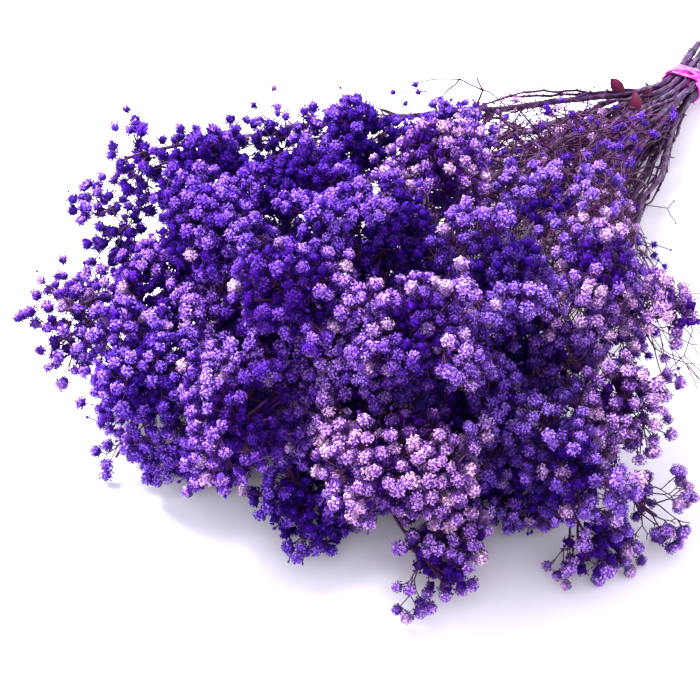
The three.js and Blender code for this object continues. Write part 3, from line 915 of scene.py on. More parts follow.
class Flower:
    """One model flower, made of petals round a heart. Its axis is Z and its stalk comes from below.
    Marks: 0 at a petal's root to 1 at its tip, lowered by painted shade at the roots, in the heart and on
    the flower's underside, and a chance value for each petal."""

    def __init__(self, petals, round_to, width, heart, core_shape=ball):
        rng = flower_rng
        scatter = rng.normal(0, PETAL_SCATTER, (petals, 3))
        out = unit(spread_over_ball(petals, math.cos(round_to)) + scatter)
        side = unit(np.cross(out, rng.normal(size=out.shape)))
        face = np.cross(out, side)
        tilt = rng.uniform(*PETAL_TILT, (petals, 1))
        along = out * np.cos(tilt) + face * np.sin(tilt)
        length = FLOWER_REACH * PETAL_RUN * rng.uniform(*PETAL_LENGTHS, (petals, 1))
        root = out * FLOWER_REACH * PETAL_ROOT - face * np.sin(tilt) * length * PETAL_SINK
        tip = root + along * length
        half = width * rng.uniform(*PETAL_WIDTHS, (petals, 1))
        left = tip - side * half + along * rng.uniform(-PETAL_RUFFLE, PETAL_RUFFLE, (petals, 1))
        right = tip + side * half + along * rng.uniform(-PETAL_RUFFLE, PETAL_RUFFLE, (petals, 1))
        blades = np.stack([root, left, right], axis=1).reshape(-1, 3)
        core, core_faces = core_shape()
        core = core * FLOWER_REACH * heart + rng.normal(0, HEART_ROUGHNESS, core.shape)
        self.points = np.concatenate([blades, core])
        self.faces = np.concatenate([np.arange(3 * petals).reshape(-1, 3), core_faces + 3 * petals])
        # Painted shade: petals on the flower's underside, petal roots and the heart get lower marks, so they
        # come out darker
        edge = np.interp(out[:, 2], PAINTED_SHADE_HEIGHTS, PAINTED_SHADE_PALENESS)
        of_petals = np.stack([ROOT_PAINTED_SHADE * edge, edge, edge], axis=1).ravel()
        self.along = np.concatenate([of_petals, np.full(len(core), HEART_PAINTED_SHADE)])
        self.out = np.concatenate([np.repeat(out, 3, axis=0), unit(core)])
        self.chance = np.concatenate([np.repeat(rng.random(petals), 3), np.full(len(core), 0.4)])


flower_rng = np.random.default_rng(7)
open_flowers = [
    Flower(OPEN_PETALS, flower_rng.uniform(*OPEN_ROUND), OPEN_WIDE, OPEN_HEART) for _ in range(OPEN_KINDS)
]
half_flowers = [
    Flower(HALF_PETALS, flower_rng.uniform(*HALF_ROUND), HALF_WIDE, HALF_HEART) for _ in range(HALF_KINDS)
]
shaded_flowers = [
    Flower(SHADED_PETALS, SHADED_ROUND, SHADED_WIDE, SHADED_HEART, rough_ball) for _ in range(SHADED_KINDS)
]
inner_flowers = [
    Flower(INNER_PETALS, INNER_ROUND, INNER_WIDE, INNER_HEART, rough_ball) for _ in range(INNER_KINDS)
]


def set_flowers(cuttings, kinds, at, facing, sizes, tones, blushes, rng, shade):
    """Sets a flower of a chance kind at each place, turned at random about the way it faces."""
    if not len(at):
        return
    z = unit(facing)
    x = unit(np.cross(z, rng.normal(size=z.shape)))
    frames = np.stack([x, np.cross(z, x), z], axis=2) * sizes[:, None, None]
    which = rng.integers(len(kinds), size=len(at))
    for number, kind in enumerate(kinds):
        mine = which == number
        count = int(mine.sum())
        if not count:
            continue
        per = len(kind.points)
        points = np.einsum("nij,vj->nvi", frames[mine], kind.points) + at[mine][:, None]
        faces = kind.faces[None] + per * np.arange(count)[:, None, None]
        # Painted light and shade: petals that face up in the world come out paler, and those that face down
        # come out darker
        painted_light_up = 0.5 + 0.5 * np.einsum("nj,vj->nv", frames[mine][:, 2] / sizes[mine][:, None], kind.out)
        marks = np.stack([
            (kind.along * shade[mine][:, None] * (UNDERSIDE_PAINTED_SHADE + TOP_PAINTED_LIGHT * painted_light_up)).ravel(),
            np.repeat(tones[mine], per),
            np.tile(kind.chance, count),
            np.repeat(blushes[mine], per),
        ], axis=1)
        cuttings.add_triangles(points.reshape(-1, 3), faces.reshape(-1, 3), marks)


# The dyes. The flowers were dyed after drying: most took a deep violet, some less of it, and a few turned
# pinkish. Each dye gives the colours of heart, blade, washed-out blade and petal edge; the near-black heart
# colour is painted shade deep between the petals.
DYES = {
    "flower_violet": ("040124", "480eb0", "7444be", "aa88d4"),
    "flower_lilac": ("050126", "4e0eae", "7e4aba", "b692d4"),
    "flower_pale": ("080228", "5610a6", "945cba", "caaad8"),
}
# How pale a dye's flowers are on average, how much heads and flowers differ, and how many are blushed
TAKEN = {
    "flower_violet": (0.26, 0.14, 0.16, 0.02),
    "flower_lilac": (0.42, 0.16, 0.2, 0.07),
    "flower_pale": (0.6, 0.2, 0.22, 0.2),
}
BLUSH = "f0c0c4"
# Places where the flowers took less dye: how far round, and how much paler they are there
WASHED = np.array([
    (76, -244, 88, 24, 0.3), (97, -213, 75, 18, 0.2), (107, -128, 100, 35, 0.16), (-16, -262, 88, 12, 0.2),
])


def washed_out(points):
    """How much paler flowers are at points."""
    far = np.linalg.norm(points[:, None] - WASHED[:, :3], axis=2) / WASHED[:, 3]
    return (WASHED[:, 4] * np.exp(-far**2)).sum(axis=1)


def petal_finish(slot):
    """Dyed petals: near black in the heart, which is painted shade, saturated along the blade and paler at
    the ruffled edge, with painted light and shade from the petals' first mark. Some flowers took less dye
    than others, and a few turned pinkish or cream."""
    heart, blade, washed, edge = (rgb(code) for code in DYES[slot])
    finish, start, (along, tone, petal, blush) = new_finish(slot.replace("flower_", "petals_"))
    grain = start.noise(1500.0, 1.0).above(0.38, 0.64)
    # Painted shade: the near-black heart colour shows where the first mark is low, at roots, hearts,
    # undersides and deep flowers
    body = ((grain * 0.5 + 0.5) * (along * 1.3 + 0.05)).between(heart, blade)
    paler = (along**2 * (tone * 1.15 + 0.06)).between(body, washed)
    # Painted light: the pale edge is strongest where the first mark is high, on outer petals that face up
    lit = along**3 * (grain * 0.4 + 0.75) * ((petal * 0.35 + 0.6) * tone * 1.2 + petal * 0.08)
    edged = lit.between(paler, edge)
    patch = start.noise(22.0, 1.0).above(0.42, 0.64) * 0.3
    pinker = start.node(
        "ShaderNodeMix",
        {"data_type": "RGBA", "blend_type": "MULTIPLY"},
        {0: patch, 6: edged, 7: (1.0, 0.7, 0.8, 1.0)},
        2,
    )
    blushed = (blush * along * (grain * 0.5 + 0.35)).between(pinker, rgb(BLUSH))
    close_finish(
        start,
        Base_Color=blushed,
        Roughness=0.62 + 0.25 * petal,
        Specular_IOR_Level=0.03,
        Normal=grain.bumps(0.6, 0.0004),
    )
    return finish


petal_finishes = {slot: petal_finish(slot) for slot in DYES}

# The flower heads: small clusters of flowers that share a stalk, domed, and looser at the bunch's
# edges. No two flowers stand closer than their petals allow.
FLOWER_GAP, STRAY_GAP, SPRIG_GAP = 5.6, 5.2, 4.8
MEMBER_GAP, MEMBER_RISE, MEMBER_DROP = (5.8, 7.5), 0.45, 0.9
HEAD_FLOWERS, HEAD_RADIUS, HEAD_DOME = (4.5, 10), 11, 10
FEWER_WHERE_LOOSE, FEWER_WHERE_DARK, DARK_SIGHT = 0.25, 0.6, 0.1
CLOSE_SHARE, LOOSE_SHARE = 0.97, 0.3
HEAD_STALK, HEAD_SCATTER, HEAD_TRIES, FIRST_TRIES = (8, 11), 1.6, 40, 6
FLOWER_SIZE, FLOWER_TURN = (0.82, 1.1), 0.25
MOST_FLOWERS = 16000
# The lowest and highest place of each kind, and how far from the middle it may stand
FLOWER_ROOM = (2.6, 162, math.inf)
STRAY_ROOM = (3, 164, 181)
SPRIG_ROOM = (2.8, 172, 181)
BUD_ROOM = (1.5, 168, 184)


def fits_in(room, place):
    """Whether a place is in the room that the bunch takes up."""
    lowest, highest, farthest = room
    return lowest < place[2] < highest and abs(place[0]) < farthest


class Placed:
    """Every flower that has been given a place, so that no other is set too close to it."""

    def __init__(self, most):
        self.at = np.empty((most, 3))
        self.count = 0

    def fits(self, place, gap):
        if (np.linalg.norm(self.at[:self.count] - place, axis=1) <= gap).any():
            return False
        self.at[self.count] = place
        self.count += 1
        return True


class Head:
    """One small cluster of flowers, and the joint of the stalk that they share."""

    def __init__(self, number):
        self.out = out[number]
        self.owner = owners[number]
        self.loose = looseness[number]
        self.sight = sight[number]
        self.tone = head_rng.normal()
        self.middle = seeds[number] + self.out * head_rng.normal(0, HEAD_SCATTER)
        self.joint = self.middle - self.out * head_rng.uniform(*HEAD_STALK)
        self.flowers = []

    def fill(self, placed):
        """Adds flowers one beside another. Each is its place, its way, its size and its paleness,
        how well it is seen and how loosely it stands."""
        wanted = head_rng.uniform(*HEAD_FLOWERS) * (1 - FEWER_WHERE_LOOSE * self.loose)
        if self.sight < DARK_SIGHT:
            wanted *= FEWER_WHERE_DARK
        members = [self.middle]
        apart = CLOSE_SHARE + LOOSE_SHARE * self.loose
        for tries in range(HEAD_TRIES):
            if len(self.flowers) >= wanted:
                return
            if self.flowers:
                side = unit(np.cross(self.out, head_rng.normal(size=3)))
                way = unit(side + self.out * head_rng.normal(0, MEMBER_RISE))
                beside = members[head_rng.integers(len(members))]
                place = beside + way * head_rng.uniform(*MEMBER_GAP) * apart - self.out * MEMBER_DROP
            else:
                place = self.middle
            if np.linalg.norm(place - self.middle) > HEAD_RADIUS * apart or not fits_in(FLOWER_ROOM, place):
                continue
            if placed.fits(place, FLOWER_GAP * apart):
                members.append(place)
                facing = unit(place - self.middle + self.out * HEAD_DOME)
                facing = unit(facing + head_rng.normal(0, FLOWER_TURN, 3))
                size = head_rng.uniform(*FLOWER_SIZE)
                self.flowers.append((*place, *facing, size, self.tone, self.sight, self.loose))
            elif not self.flowers and tries > FIRST_TRIES:
                return


placed = Placed(MOST_FLOWERS)
clusters = [Head(number) for number in heads]
for cluster in clusters:
    cluster.fill(placed)

# The clumps, each one piece with its heads, its strays and buds on longer stalks, and its inner
# flowers. The stalks fork from the stem's own line and belong to the stem's twigs.
SIGHT_FOR_STALKS, SIGHT_FOR_BUDS, SIGHT_FOR_FULL_PETALS = 0.1, 0.14, 0.23
HALF_SHARE = 0.12
HEAD_STALK_WIDE, HEAD_STALK_NARROW, LONG_STALK = 0.5, 0.36, 12
FLOWER_STALK_WIDE, FLOWER_STALK_NARROW, THICKER_WHERE_LOOSE = 0.3, 0.23, 0.1
# How far a stray or a bud stands out from its flower and to the side of it
STRAY_SHARE, STRAY_OUT, STRAY_ASIDE, STRAY_SIZE = 0.08, (5, 9), (0, 6), (0.7, 0.95)
BUD_SHARE, BUD_OUT, BUD_ASIDE, BUD_SIZE, BUD_LONG = 0.28, (3.5, 7), (0, 5), (0.7, 1.1), 2.6
BUD_MARK, BUD_TONE = 0.3, 0.6
# A loose spray: its twigs for each SPRIG_RADIUS of size, their length, thickness and forks, how far
# they reach out, how pale its flowers are, and how many ends are bare or have a pair of flowers
SPRIGS, SPRIG_RADIUS, SPRIG_RUN, SPRIG_WIDE, SPRIG_FORKINGS = 7.5, 17, (0.4, 1.5), 0.72, 4
SPRIG_ROOTS, SPRIG_REACH, SPRIG_FLATNESS = (1.6, 5, 0.7), (0.7, 1.25), (1.0, 1.0, 0.55)
SPRIG_TONE, BARE_END_SHARE, PAIR_SHARE, SPRIG_SIZES = 0.9, 0.3, 0.45, (0.8, 1.08)
# Painted light, which makes a flower paler: being seen, standing out of the skin, and standing loosely
PAINTED_LIGHT_IN_SIGHT, USUAL_SIGHT, FULL_SIGHT = 0.5, 0.3, 0.6
PAINTED_LIGHT_OUT, PAINTED_LIGHT_WHERE_LOOSE = 0.02, 0.1
# Painted shade, which makes a flower darker: standing deep, having little sight, and standing near a hollow
DEEPER_PAINTED_SHADE, SIGHT_FLOOR, HOLLOW_PAINTED_SHADE, DARKEST = 0.1, 0.72, 0.44, 0.35
# Blushed flowers get more common from the middle of the bunch to its right
BLUSHED_FROM, BLUSHED_RUN, BLUSHED_MORE, BLUSHED_ALL, BLUSHED = -20, 120, 0.1, 0.16, (0.4, 1)
# Painted shade on the inner flowers, which come out much darker than the rest, and their size
INNER_PAINTED_SHADE, INNER_SIZE = 0.45, (0.9, 1.2)


def sprig_flowers(tuft, middle, path, twigs):
    """A loose spray at the edge of the bunch: short twigs with a flower or two at every end."""
    own = Twigs(head_rng)
    near_share, near_more, root_share = SPRIG_ROOTS
    near = path[np.linalg.norm(path - middle, axis=1) < near_share * tuft.radius + near_more]
    for _ in range(round(SPRIGS * tuft.radius / SPRIG_RADIUS)):
        start = near[int(head_rng.uniform(0, root_share) * len(near))]
        aim = unit(head_rng.normal(size=3)) * SPRIG_FLATNESS * tuft.radius
        heading = middle + aim * head_rng.uniform(*SPRIG_REACH) - start
        run = SPRIG_RUN[0] * np.linalg.norm(heading) + SPRIG_RUN[1]
        own.grow(start, heading, run, SPRIG_WIDE, SPRIG_FORKINGS)
    twigs.stalks += own.stalks
    twigs.joints += own.joints
    flowers = []
    for end in own.ends:
        tone = head_rng.normal() + SPRIG_TONE
        if head_rng.random() < BARE_END_SHARE:
            continue
        place, heading = np.array(end[:3]), np.array(end[3:])
        for more in range(1 + (head_rng.random() < PAIR_SHARE)):
            aside = unit(np.cross(heading, head_rng.normal(size=3)))
            at = place + heading * 2 + more * FLOWER_GAP * aside
            if in_hollows(at[None])[0] >= 1 and fits_in(SPRIG_ROOM, at) and placed.fits(at, SPRIG_GAP):
                facing = unit(heading + head_rng.normal(0, 0.2, 3))
                flowers.append((*at, *facing, head_rng.uniform(*SPRIG_SIZES), tone, 1, 1))
                if more:
                    twigs.add(place, at - 2 * heading, 0.28, 0.22, 0)
    return flowers


def set_stray(cluster, place, facing, aside, twigs):
    """A single flower that stands clear of its head, if there is room."""
    far = place + facing * head_rng.uniform(*STRAY_OUT) + aside * head_rng.uniform(*STRAY_ASIDE)
    if not (fits_in(STRAY_ROOM, far) and placed.fits(far, STRAY_GAP)):
        return []
    size = head_rng.uniform(*STRAY_SIZE)
    stray = (*far, *unit(facing + 0.5 * aside), size, cluster.tone, 1, 1)
    twigs.add(cluster.joint, far - 2 * facing, 0.36, 0.3, 0.04)
    return [stray]


def set_bud(place, facing, aside, twigs):
    """A round bud on a thin stalk of its own, if there is room."""
    far = place + facing * head_rng.uniform(*BUD_OUT) + aside * head_rng.uniform(*BUD_ASIDE)
    if not fits_in(BUD_ROOM, far):
        return []
    twigs.add(place - facing, far, 0.26, 0.2, 0)
    return [(*far, *unit(facing + 0.7 * aside))]


def stalked_flowers(tuft, path, heads_here, twigs):
    """Stalks from the stem to each head and on to its flowers. Gives the flowers and the buds."""
    inside = path[np.linalg.norm(path - tuft.centre, axis=1) < 1.15 * tuft.radius]
    root = inside[0]
    nodes = list(inside[::3]) + [inside[-1]]
    flowers, buds = [], []
    for cluster in sorted(heads_here, key=lambda cluster: np.linalg.norm(cluster.joint - root)):
        there = np.array(nodes)
        step = cluster.joint - there
        forward = (unit(step) * unit(there - root + 0.01 * AXIS)).sum(axis=1)
        best = int((np.linalg.norm(step, axis=1) * (1.6 - 0.6 * forward)).argmin())
        twigs.add(there[best], cluster.joint, HEAD_STALK_WIDE, HEAD_STALK_NARROW)
        nodes.append(cluster.joint)
        if np.linalg.norm(step[best]) > LONG_STALK:
            nodes.append((there[best] + cluster.joint) / 2)
        for flower in cluster.flowers:
            flowers.append(flower)
            place, facing = np.array(flower[:3]), np.array(flower[3:6])
            if cluster.sight > SIGHT_FOR_STALKS:
                wide = FLOWER_STALK_WIDE + THICKER_WHERE_LOOSE * cluster.loose
                narrow = FLOWER_STALK_NARROW + THICKER_WHERE_LOOSE * cluster.loose
                twigs.add(cluster.joint, place - 2.2 * facing, wide, narrow, 0)
            if cluster.sight > SIGHT_FOR_BUDS:
                aside = unit(np.cross(facing, head_rng.normal(size=3)))
                if head_rng.random() < STRAY_SHARE * (1 + cluster.loose):
                    flowers += set_stray(cluster, place, facing, aside, twigs)
                if head_rng.random() < BUD_SHARE:
                    buds += set_bud(place, facing, aside, twigs)
    return flowers, buds


def set_buds(cuttings, buds, size, tones):
    """Round closed buds, dark at the stalk."""
    marks = np.stack([0 * size + BUD_MARK, tones, 0 * size + BUD_MARK, 0 * size], axis=1)
    cuttings.add_drops(buds[:, :3], buds[:, 3:], size, BUD_LONG * size, marks)


def set_clump(cuttings, dye, flowers):
    """The flowers of one clump, with the paleness, painted light and painted shade that each gets from its
    place.
    """
    at, facing = flowers[:, :3], flowers[:, 3:6]
    size, head_tone, seen, loose = flowers[:, 6:].T
    average, by_head, by_flower, blush_share = TAKEN[dye]
    tones = average + by_head * head_tone + by_flower * head_rng.normal(size=len(flowers))
    depth, _ = skin(at)
    # Painted light: flowers that are seen, stand out of the skin or stand loosely are made paler
    tones += PAINTED_LIGHT_IN_SIGHT * (np.clip(seen, 0, FULL_SIGHT) - USUAL_SIGHT)
    tones += PAINTED_LIGHT_OUT * np.clip(depth, -8, 6) + PAINTED_LIGHT_WHERE_LOOSE * loose + washed_out(at)
    tones = np.clip(tones, 0, 1)
    rightward = np.clip((at[:, 0] - BLUSHED_FROM) / BLUSHED_RUN, 0, 1)
    blushed = head_rng.random(len(flowers)) < blush_share + BLUSHED_MORE * rightward
    blushes = np.where(blushed, head_rng.uniform(*BLUSHED, len(flowers)), BLUSHED_ALL * rightward)
    # Painted shade: flowers deep in the skin, with little sight or near a hollow are made darker
    shade = np.clip(1 + DEEPER_PAINTED_SHADE * (depth + SKIN_DEPTH), DARKEST, 1)
    shade *= np.clip(SIGHT_FLOOR + seen, 0, 1) * np.clip(HOLLOW_PAINTED_SHADE * in_hollows(at), DARKEST, 1)
    full = seen > SIGHT_FOR_FULL_PETALS
    half = head_rng.random(len(flowers)) < HALF_SHARE
    for kinds, chosen in (
        (open_flowers, full & ~half), (half_flowers, full & half), (shaded_flowers, ~full),
    ):
        set_flowers(
            cuttings, kinds, at[chosen], facing[chosen], size[chosen],
            tones[chosen], blushes[chosen], head_rng, shade[chosen],
        )


for number, tuft in enumerate(tufts):
    cuttings = Cuttings()
    spray = next(spray for spray in sprays if tuft in spray.tufts)
    twigs = twigs_of[spray.label]
    path = spray.main if tuft is spray.tufts[0] else spray.forks[spray.tufts.index(tuft) - 1]
    heads_here = [cluster for cluster in clusters if cluster.owner == number and cluster.flowers]
    flowers, buds = stalked_flowers(tuft, path, heads_here, twigs)
    if radii_of_tufts[number] < SPRIG_SIZE:
        flowers += sprig_flowers(tuft, middles[number], path, twigs)
    set_clump(cuttings, tuft.dye, np.array(flowers))
    if buds:
        size = head_rng.uniform(*BUD_SIZE, len(buds))
        set_buds(cuttings, np.array(buds), size, BUD_TONE * head_rng.random(len(buds)))
    under = inside_owners == number
    count = int(under.sum())
    set_flowers(
        cuttings, inner_flowers, insides[under], inside_out[under],
        head_rng.uniform(*INNER_SIZE, count), np.zeros(count), np.zeros(count), head_rng,
        np.full(count, INNER_PAINTED_SHADE),
    )
    make_piece(f"florets_{tuft.label}", cuttings, petal_finishes[tuft.dye], tuft.dye, tuft.node)


# The arched twig that stands up at the back, over the top of the mass. It is a thin brown twig of one
# stem that bends over and forks, and it is bare but for a few small flowers at its ends.
ARCH = {
    "stem": [(-20.4, -20, 60), (-20.4, -20, 114.3), (-18, -20, 122.5), (-21.9, -20, 128.6)],
    "left": [
        (-18, -20, 122.5), (-31.8, -20, 125.1), (-47.4, -20, 120.6), (-58.9, -20, 114.8), (-66.8, -20, 106.9),
    ],
    "right": [(-18, -20, 122.5), (-14.4, -20, 122.3), (-3.9, -20, 116.2), (1.1, -20, 118.0)],
    "inner": [(-31.8, -20, 125.1), (-38.7, -20, 116.4), (-43.3, -20, 109.4)],
}
ARCH_FLOWERS = [
    (1.1, -20, 120.4), (-42.4, -20, 118.4), (-52.1, -20, 113.7), (-58.8, -20, 112.3), (-43.3, -20, 107.4),
]
ARCH_STEM, ARCH_BRANCH, ARCH_NARROWING = 0.85, 0.6, 0.85
ARCH_OWNER = "12"

arch_twigs = twigs_of[ARCH_OWNER]
for name, points in ARCH.items():
    width = ARCH_STEM if name == "stem" else ARCH_BRANCH
    for first, second in zip(points, points[1:]):
        arch_twigs.add(np.array(first, float), np.array(second, float), width, ARCH_NARROWING * width, 0.02)
        width *= ARCH_NARROWING
arch_twigs.ends += [(*place, 0.2, -0.3, 0.9) for place in ARCH_FLOWERS]


# The twigs of each stem become one piece, and the small flowers and buds at their ends another. The
# flowers get fewer and duller towards the tie, where most ends bear a bud.
# Places along the bunch: where its clumps end, and past which no small flower grows
CLUMPS_END, LAST_SMALL_FLOWER = -30, 140
CLEAR_OF_CLUMPS, CLEAR_OF_ROOF, LOWEST_ROOF = 6, 18, 60
# The share of ends that bear a flower and not a bud, and how it falls towards the tie
FLOWERED, FLOWERED_FROM, FLOWERED_FALL, FLOWERED_LEAST, FLOWERED_MOST = 0.86, -40, 180, 0.16, 0.9
SMALL_HALF_SHARE, SMALL_FLOWER_SIZE = 0.3, (0.55, 0.85)
SMALL_FLOWER_TONE, SMALL_BLUSH_SHARE, SMALL_BLUSH = (0.35, 0.25), 0.28, 0.9
SMALL_FLOWER_SHADE, DULLER, DULLER_RUN = 0.9, 0.3, 40


def wanted_ends(ends):
    """Which twigs' ends bear a flower or bud: not those far outside the clumps or over the twigs."""
    outside, _ = skin(ends[:, :3])
    under_roof = ends[:, 2] < np.maximum(roof(ends.T) + CLEAR_OF_ROOF, LOWEST_ROOF)
    clear = np.where(ends[:, 1] < CLUMPS_END, outside < CLEAR_OF_CLUMPS, under_roof)
    return (ends[:, 1] < LAST_SMALL_FLOWER) & clear


def twigs_piece(spray, twigs):
    """All thin stalks of one stem, with their small joints and the stem's own stubs."""
    stalks, joints = np.array(twigs.stalks), np.array(twigs.joints)
    wide, narrow, chance = stalks[:, 6:].T
    cuttings = Cuttings()
    marks = np.stack([np.clip(1.15 - wide * 0.6, 0, 1), chance, 0 * wide, 0 * wide], axis=1)
    cuttings.add_stalks(stalks[:, :3], stalks[:, 3:6], wide, narrow, marks)
    cuttings.add_stalks(*spray.stubs)
    marks = np.tile([0.8, 0.3, 0.8, 0.0], (len(joints), 1))
    facing = np.tile(AXIS, (len(joints), 1))
    cuttings.add_drops(joints[:, :3], facing, joints[:, 3], 2.4 * joints[:, 3], marks)
    make_piece(f"twigs_{spray.label}", cuttings, bark, "stem")


def small_flowers_piece(spray, ends):
    """Half-open and shaded flowers at the twigs' ends, and buds on the rest of them."""
    ends = ends[wanted_ends(ends)]
    at, facing = ends[:, :3], ends[:, 3:]
    flowered = FLOWERED - (at[:, 1] - FLOWERED_FROM) / FLOWERED_FALL
    flowered = np.clip(flowered, FLOWERED_LEAST, FLOWERED_MOST)
    shade = SMALL_FLOWER_SHADE - DULLER * np.clip(at[:, 1] / DULLER_RUN, 0, 1)
    chance = twig_rng.random(len(ends))
    size = twig_rng.uniform(*SMALL_FLOWER_SIZE, len(ends))
    tones = np.clip(twig_rng.normal(*SMALL_FLOWER_TONE, len(ends)), 0, 1)
    blushes = (twig_rng.random(len(ends)) < SMALL_BLUSH_SHARE) * SMALL_BLUSH
    is_half = chance < SMALL_HALF_SHARE * flowered
    is_bud = chance >= flowered
    cuttings = Cuttings()
    for kinds, chosen in ((half_flowers, is_half), (shaded_flowers, ~is_half & ~is_bud)):
        set_flowers(
            cuttings, kinds, at[chosen] + facing[chosen] * 2.0, facing[chosen],
            size[chosen], tones[chosen], blushes[chosen], twig_rng, shade[chosen],
        )
    buds = np.concatenate([at + facing, facing], axis=1)
    set_buds(cuttings, buds[is_bud], size[is_bud], tones[is_bud])
    finish = petal_finishes["flower_violet"]
    make_piece(f"small_florets_{spray.label}", cuttings, finish, "flower_violet")


for spray in sprays:
    twigs = twigs_of[spray.label]
    twigs_piece(spray, twigs)
    small_flowers_piece(spray, np.array(twigs.ends))


# The tie. A flat elastic, dyed magenta, wound four times round the stems, with its end pulled slantwise
# over the turns and knotted on top.
TIE_TURNS, TIE_PITCH, TURN_POINTS, FIRST_TURN = 4, 3.7, 64, 0.6
ELASTIC_WIDE, ELASTIC_THICK, ELASTIC_CLEAR_OF_STEM = 3.8, 1.8, 3.5
CROSSING_WIDE, CROSSING_THICK, CROSSING_LIFT = 2.6, 1.4, 1.1
CROSSING_POINTS, CROSSING_TURN = 40, 2.0
KNOT_TURN, KNOT_PLACE, KNOT_LIFT, KNOT_WIDE, KNOT_LONG = 1.5, 1.0, 2.0, 2.2, 5.0
TAIL_WIDE, TAIL_THICK, TAIL_LONG, TAIL_LIFT, TAIL_POINTS = 2.0, 1.2, 8, 1.2, 9
TAIL_WAYS = ((-0.9, 0.5), (0.8, 0.9))
ELASTIC_SIDES = 8
MAGENTA_DARK, MAGENTA_BRIGHT, MAGENTA_RIBBED = "760d6a", "b2219a", "500a50"

stem_places = np.array([
    ((slot - (ROW_STEMS[row] - 1) / 2) * STEM_PITCH, (row - 1) * ROW_PITCH) for row, slot in places
])


def round_the_stems(turn, along, clear):
    """A point on a loop pulled tight round the stems, at a turn and a place along the bundle, and
    which way is out there."""
    way = np.array([math.cos(turn), math.sin(turn)])
    reach = np.sort(stem_places @ way)[-2:].mean()
    flat = stem_places[(stem_places @ way).argmax()] * 0.35 + way * (0.65 * reach + clear)
    return tie_centre + flat[0] * ACROSS + flat[1] * UP + along * AXIS, way[0] * ACROSS + way[1] * UP


def add_elastic(cuttings, wound, wide, thick):
    """A flat strand along points that each come with the way its flat side faces."""
    line = np.array([point for point, facing in wound])
    facing = np.array([facing for point, facing in wound])
    for _ in range(3):
        line[1:-1] = (line[:-2] + 2 * line[1:-1] + line[2:]) / 4
    along = unit(np.gradient(line, axis=0))
    across = unit(np.cross(along, facing))
    outward = np.cross(across, along)
    turn = (np.arange(ELASTIC_SIDES) + 0.5) * 2 * math.pi / ELASTIC_SIDES
    bow = np.sign(np.cos(turn)) * np.abs(np.cos(turn)) ** 0.7
    rise = np.sign(np.sin(turn)) * np.abs(np.sin(turn)) ** 0.8
    ring = bow[:, None] * across[:, None] * wide / 2 + rise[:, None] * outward[:, None] * thick / 2
    points = (line[:, None] + ring).reshape(-1, 3)
    rim = range(1, ELASTIC_SIDES - 1)
    far = len(points) - ELASTIC_SIDES
    caps = np.array([(0, k + 1, k) for k in rim] + [(far, far + k, far + k + 1) for k in rim])
    cuttings.add_walls(points, walls_of(len(line), ELASTIC_SIDES), np.zeros((len(points), 4)), caps)


def elastic_finish():
    """Soft glossy elastic: magenta, paler and brighter where it is stretched thin."""
    finish, start, marks = new_finish("magenta_elastic")
    stretched = start.noise(240.0).above(0.35, 0.65)
    magenta = stretched.between(rgb(MAGENTA_DARK), rgb(MAGENTA_BRIGHT))
    rib = start.noise(1.0, 1.0, (500, 2600, 500)).above(0.4, 0.6)
    colour = (rib * 0.3).between(magenta, rgb(MAGENTA_RIBBED))
    close_finish(
        start,
        Base_Color=colour,
        Roughness=0.22 + 0.12 * stretched,
        Specular_IOR_Level=0.5,
        Normal=start.noise(700.0).bumps(0.25, 0.0003),
    )
    return finish


def turns():
    """The turns round the stems, side by side but not quite even."""
    for step in range(TIE_TURNS * TURN_POINTS + 1):
        turn = 2 * math.pi * step / TURN_POINTS + FIRST_TURN
        wander = 0.7 * math.sin(2.3 * turn) + 0.4 * math.sin(0.7 * turn + 1)
        along = TIE_PITCH * (step / TURN_POINTS - TIE_TURNS / 2) + wander
        yield round_the_stems(turn, along, ELASTIC_CLEAR_OF_STEM)


def crossing():
    """The end that is pulled over the turns, from one side of the tie to the other."""
    for share in np.linspace(0, 1, CROSSING_POINTS + 1):
        turn = FIRST_TURN + CROSSING_TURN * share
        along = TIE_PITCH * TIE_TURNS * (share - 0.5)
        yield round_the_stems(turn, along, ELASTIC_CLEAR_OF_STEM + CROSSING_LIFT)


elastic = Cuttings()
add_elastic(elastic, list(turns()), ELASTIC_WIDE, ELASTIC_THICK)
add_elastic(elastic, list(crossing()), CROSSING_WIDE, CROSSING_THICK)
knot_at, knot_up = round_the_stems(KNOT_TURN, KNOT_PLACE, ELASTIC_CLEAR_OF_STEM + KNOT_LIFT)
for aside, onward in TAIL_WAYS:
    way = TAIL_LONG * (aside * ACROSS + onward * AXIS)
    shares = np.linspace(0, 1, TAIL_POINTS)
    tail = [(knot_at + knot_up * TAIL_LIFT * math.sin(3 * share) + way * share, knot_up) for share in shares]
    add_elastic(elastic, tail, TAIL_WIDE, TAIL_THICK)
elastic.add_drops(knot_at[None], ACROSS[None], np.array([KNOT_WIDE]), np.array([KNOT_LONG]), np.zeros((1, 4)))
make_piece("tie_elastic", elastic, elastic_finish(), "tie", "tie_band")


# The table that the bunch lies on, which is only the stage: a plain, pale, matt surface, somewhat
# darker than white, so that the thinnest stalks stand out against it.
TABLE_HALF = 6
TABLE_PALE, TABLE_PALER = "bab5c4", "bdb8c6"


def table_finish():
    finish, start, marks = new_finish("pale_table")
    shade = start.noise(3.0).between(rgb(TABLE_PALE), rgb(TABLE_PALER))
    close_finish(start, Base_Color=shade, Roughness=0.85)
    return finish


table_mesh = bpy.data.meshes.new("table")
table_corners = [(x * TABLE_HALF, y * TABLE_HALF, 0) for x, y in ((-1, -1), (1, -1), (1, 1), (-1, 1))]
table_mesh.from_pydata(table_corners, [], [(0, 1, 2, 3)])
table_mesh.materials.append(table_finish())
table = bpy.data.objects.new("table", table_mesh)
bpy.context.scene.collection.objects.link(table)


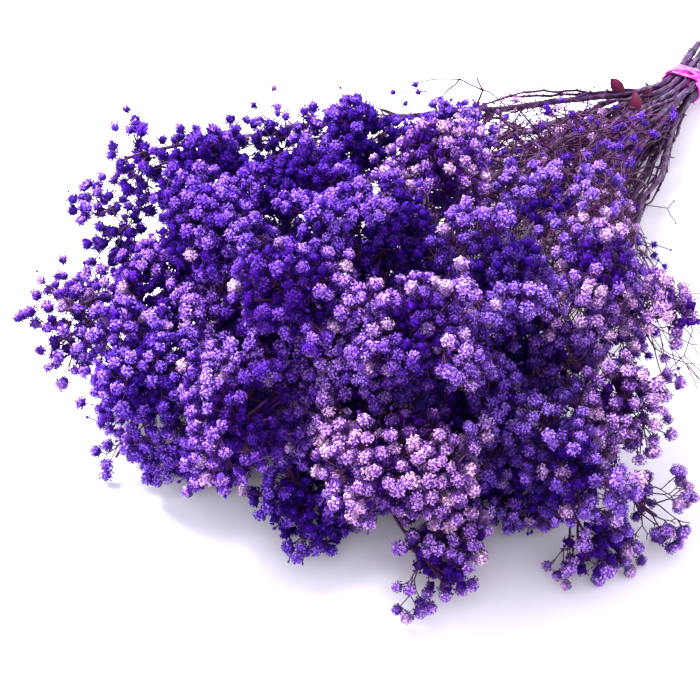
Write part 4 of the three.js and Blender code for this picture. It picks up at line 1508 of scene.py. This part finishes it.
# Soft, bright studio light from all round, brightest low down, with one large lamp above and behind
# to the left.
SKY_LIGHT, LOW_LIGHT = 2.5, 6.0
LAMP_SIZE, LAMP_POWER, LAMP_PLACE = 0.6, 124, Vector((-0.8, 0.15, 1.15))
LOOKED_AT = Vector((0.0122, -0.21435, 0.095))

world = bpy.data.worlds.new("studio")
world.use_nodes = True
background = world.node_tree.nodes["Background"]
background.inputs["Color"].default_value = (1, 1, 1, 1)
sky = Shade(world.node_tree)
sky_height = sky.node("ShaderNodeSeparateXYZ", {}, {0: sky.node("ShaderNodeTexCoord")}, 2)
brightness = LOW_LIGHT - (LOW_LIGHT - SKY_LIGHT) * sky_height.above(0.15, 0.6)
world.node_tree.links.new(brightness.socket, background.inputs["Strength"])
bpy.context.scene.world = world

lamp = bpy.data.lights.new("top_lamp", "AREA")
lamp.size = LAMP_SIZE
lamp.energy = LAMP_POWER
hung_lamp = bpy.data.objects.new("top_lamp", lamp)
hung_lamp.location = LOOKED_AT + LAMP_PLACE
hung_lamp.rotation_euler = (-LAMP_PLACE).to_track_quat("-Z", "Y").to_euler()
bpy.context.scene.collection.objects.link(hung_lamp)


# The camera looks down at 40 degrees and from 30 degrees to one side.
AZIMUTH, ELEVATION = math.radians(30), math.radians(40)
CAMERA_DISTANCE = 0.7
FOCAL_PIXELS, PICTURE_PIXELS, SENSOR = 1540, 700, 36

camera_data = bpy.data.cameras.new("camera")
camera_data.sensor_width = SENSOR
camera_data.lens = SENSOR * FOCAL_PIXELS / PICTURE_PIXELS
camera_data.clip_start = 0.01
camera = bpy.data.objects.new("camera", camera_data)
back = Vector((
    math.sin(AZIMUTH) * math.cos(ELEVATION),
    -math.cos(AZIMUTH) * math.cos(ELEVATION),
    math.sin(ELEVATION),
))
camera.location = LOOKED_AT + CAMERA_DISTANCE * back
camera.rotation_euler = back.to_track_quat("Z", "Y").to_euler()
bpy.context.scene.collection.objects.link(camera)
bpy.context.scene.camera = camera
bpy.context.scene.view_settings.view_transform = "Standard"
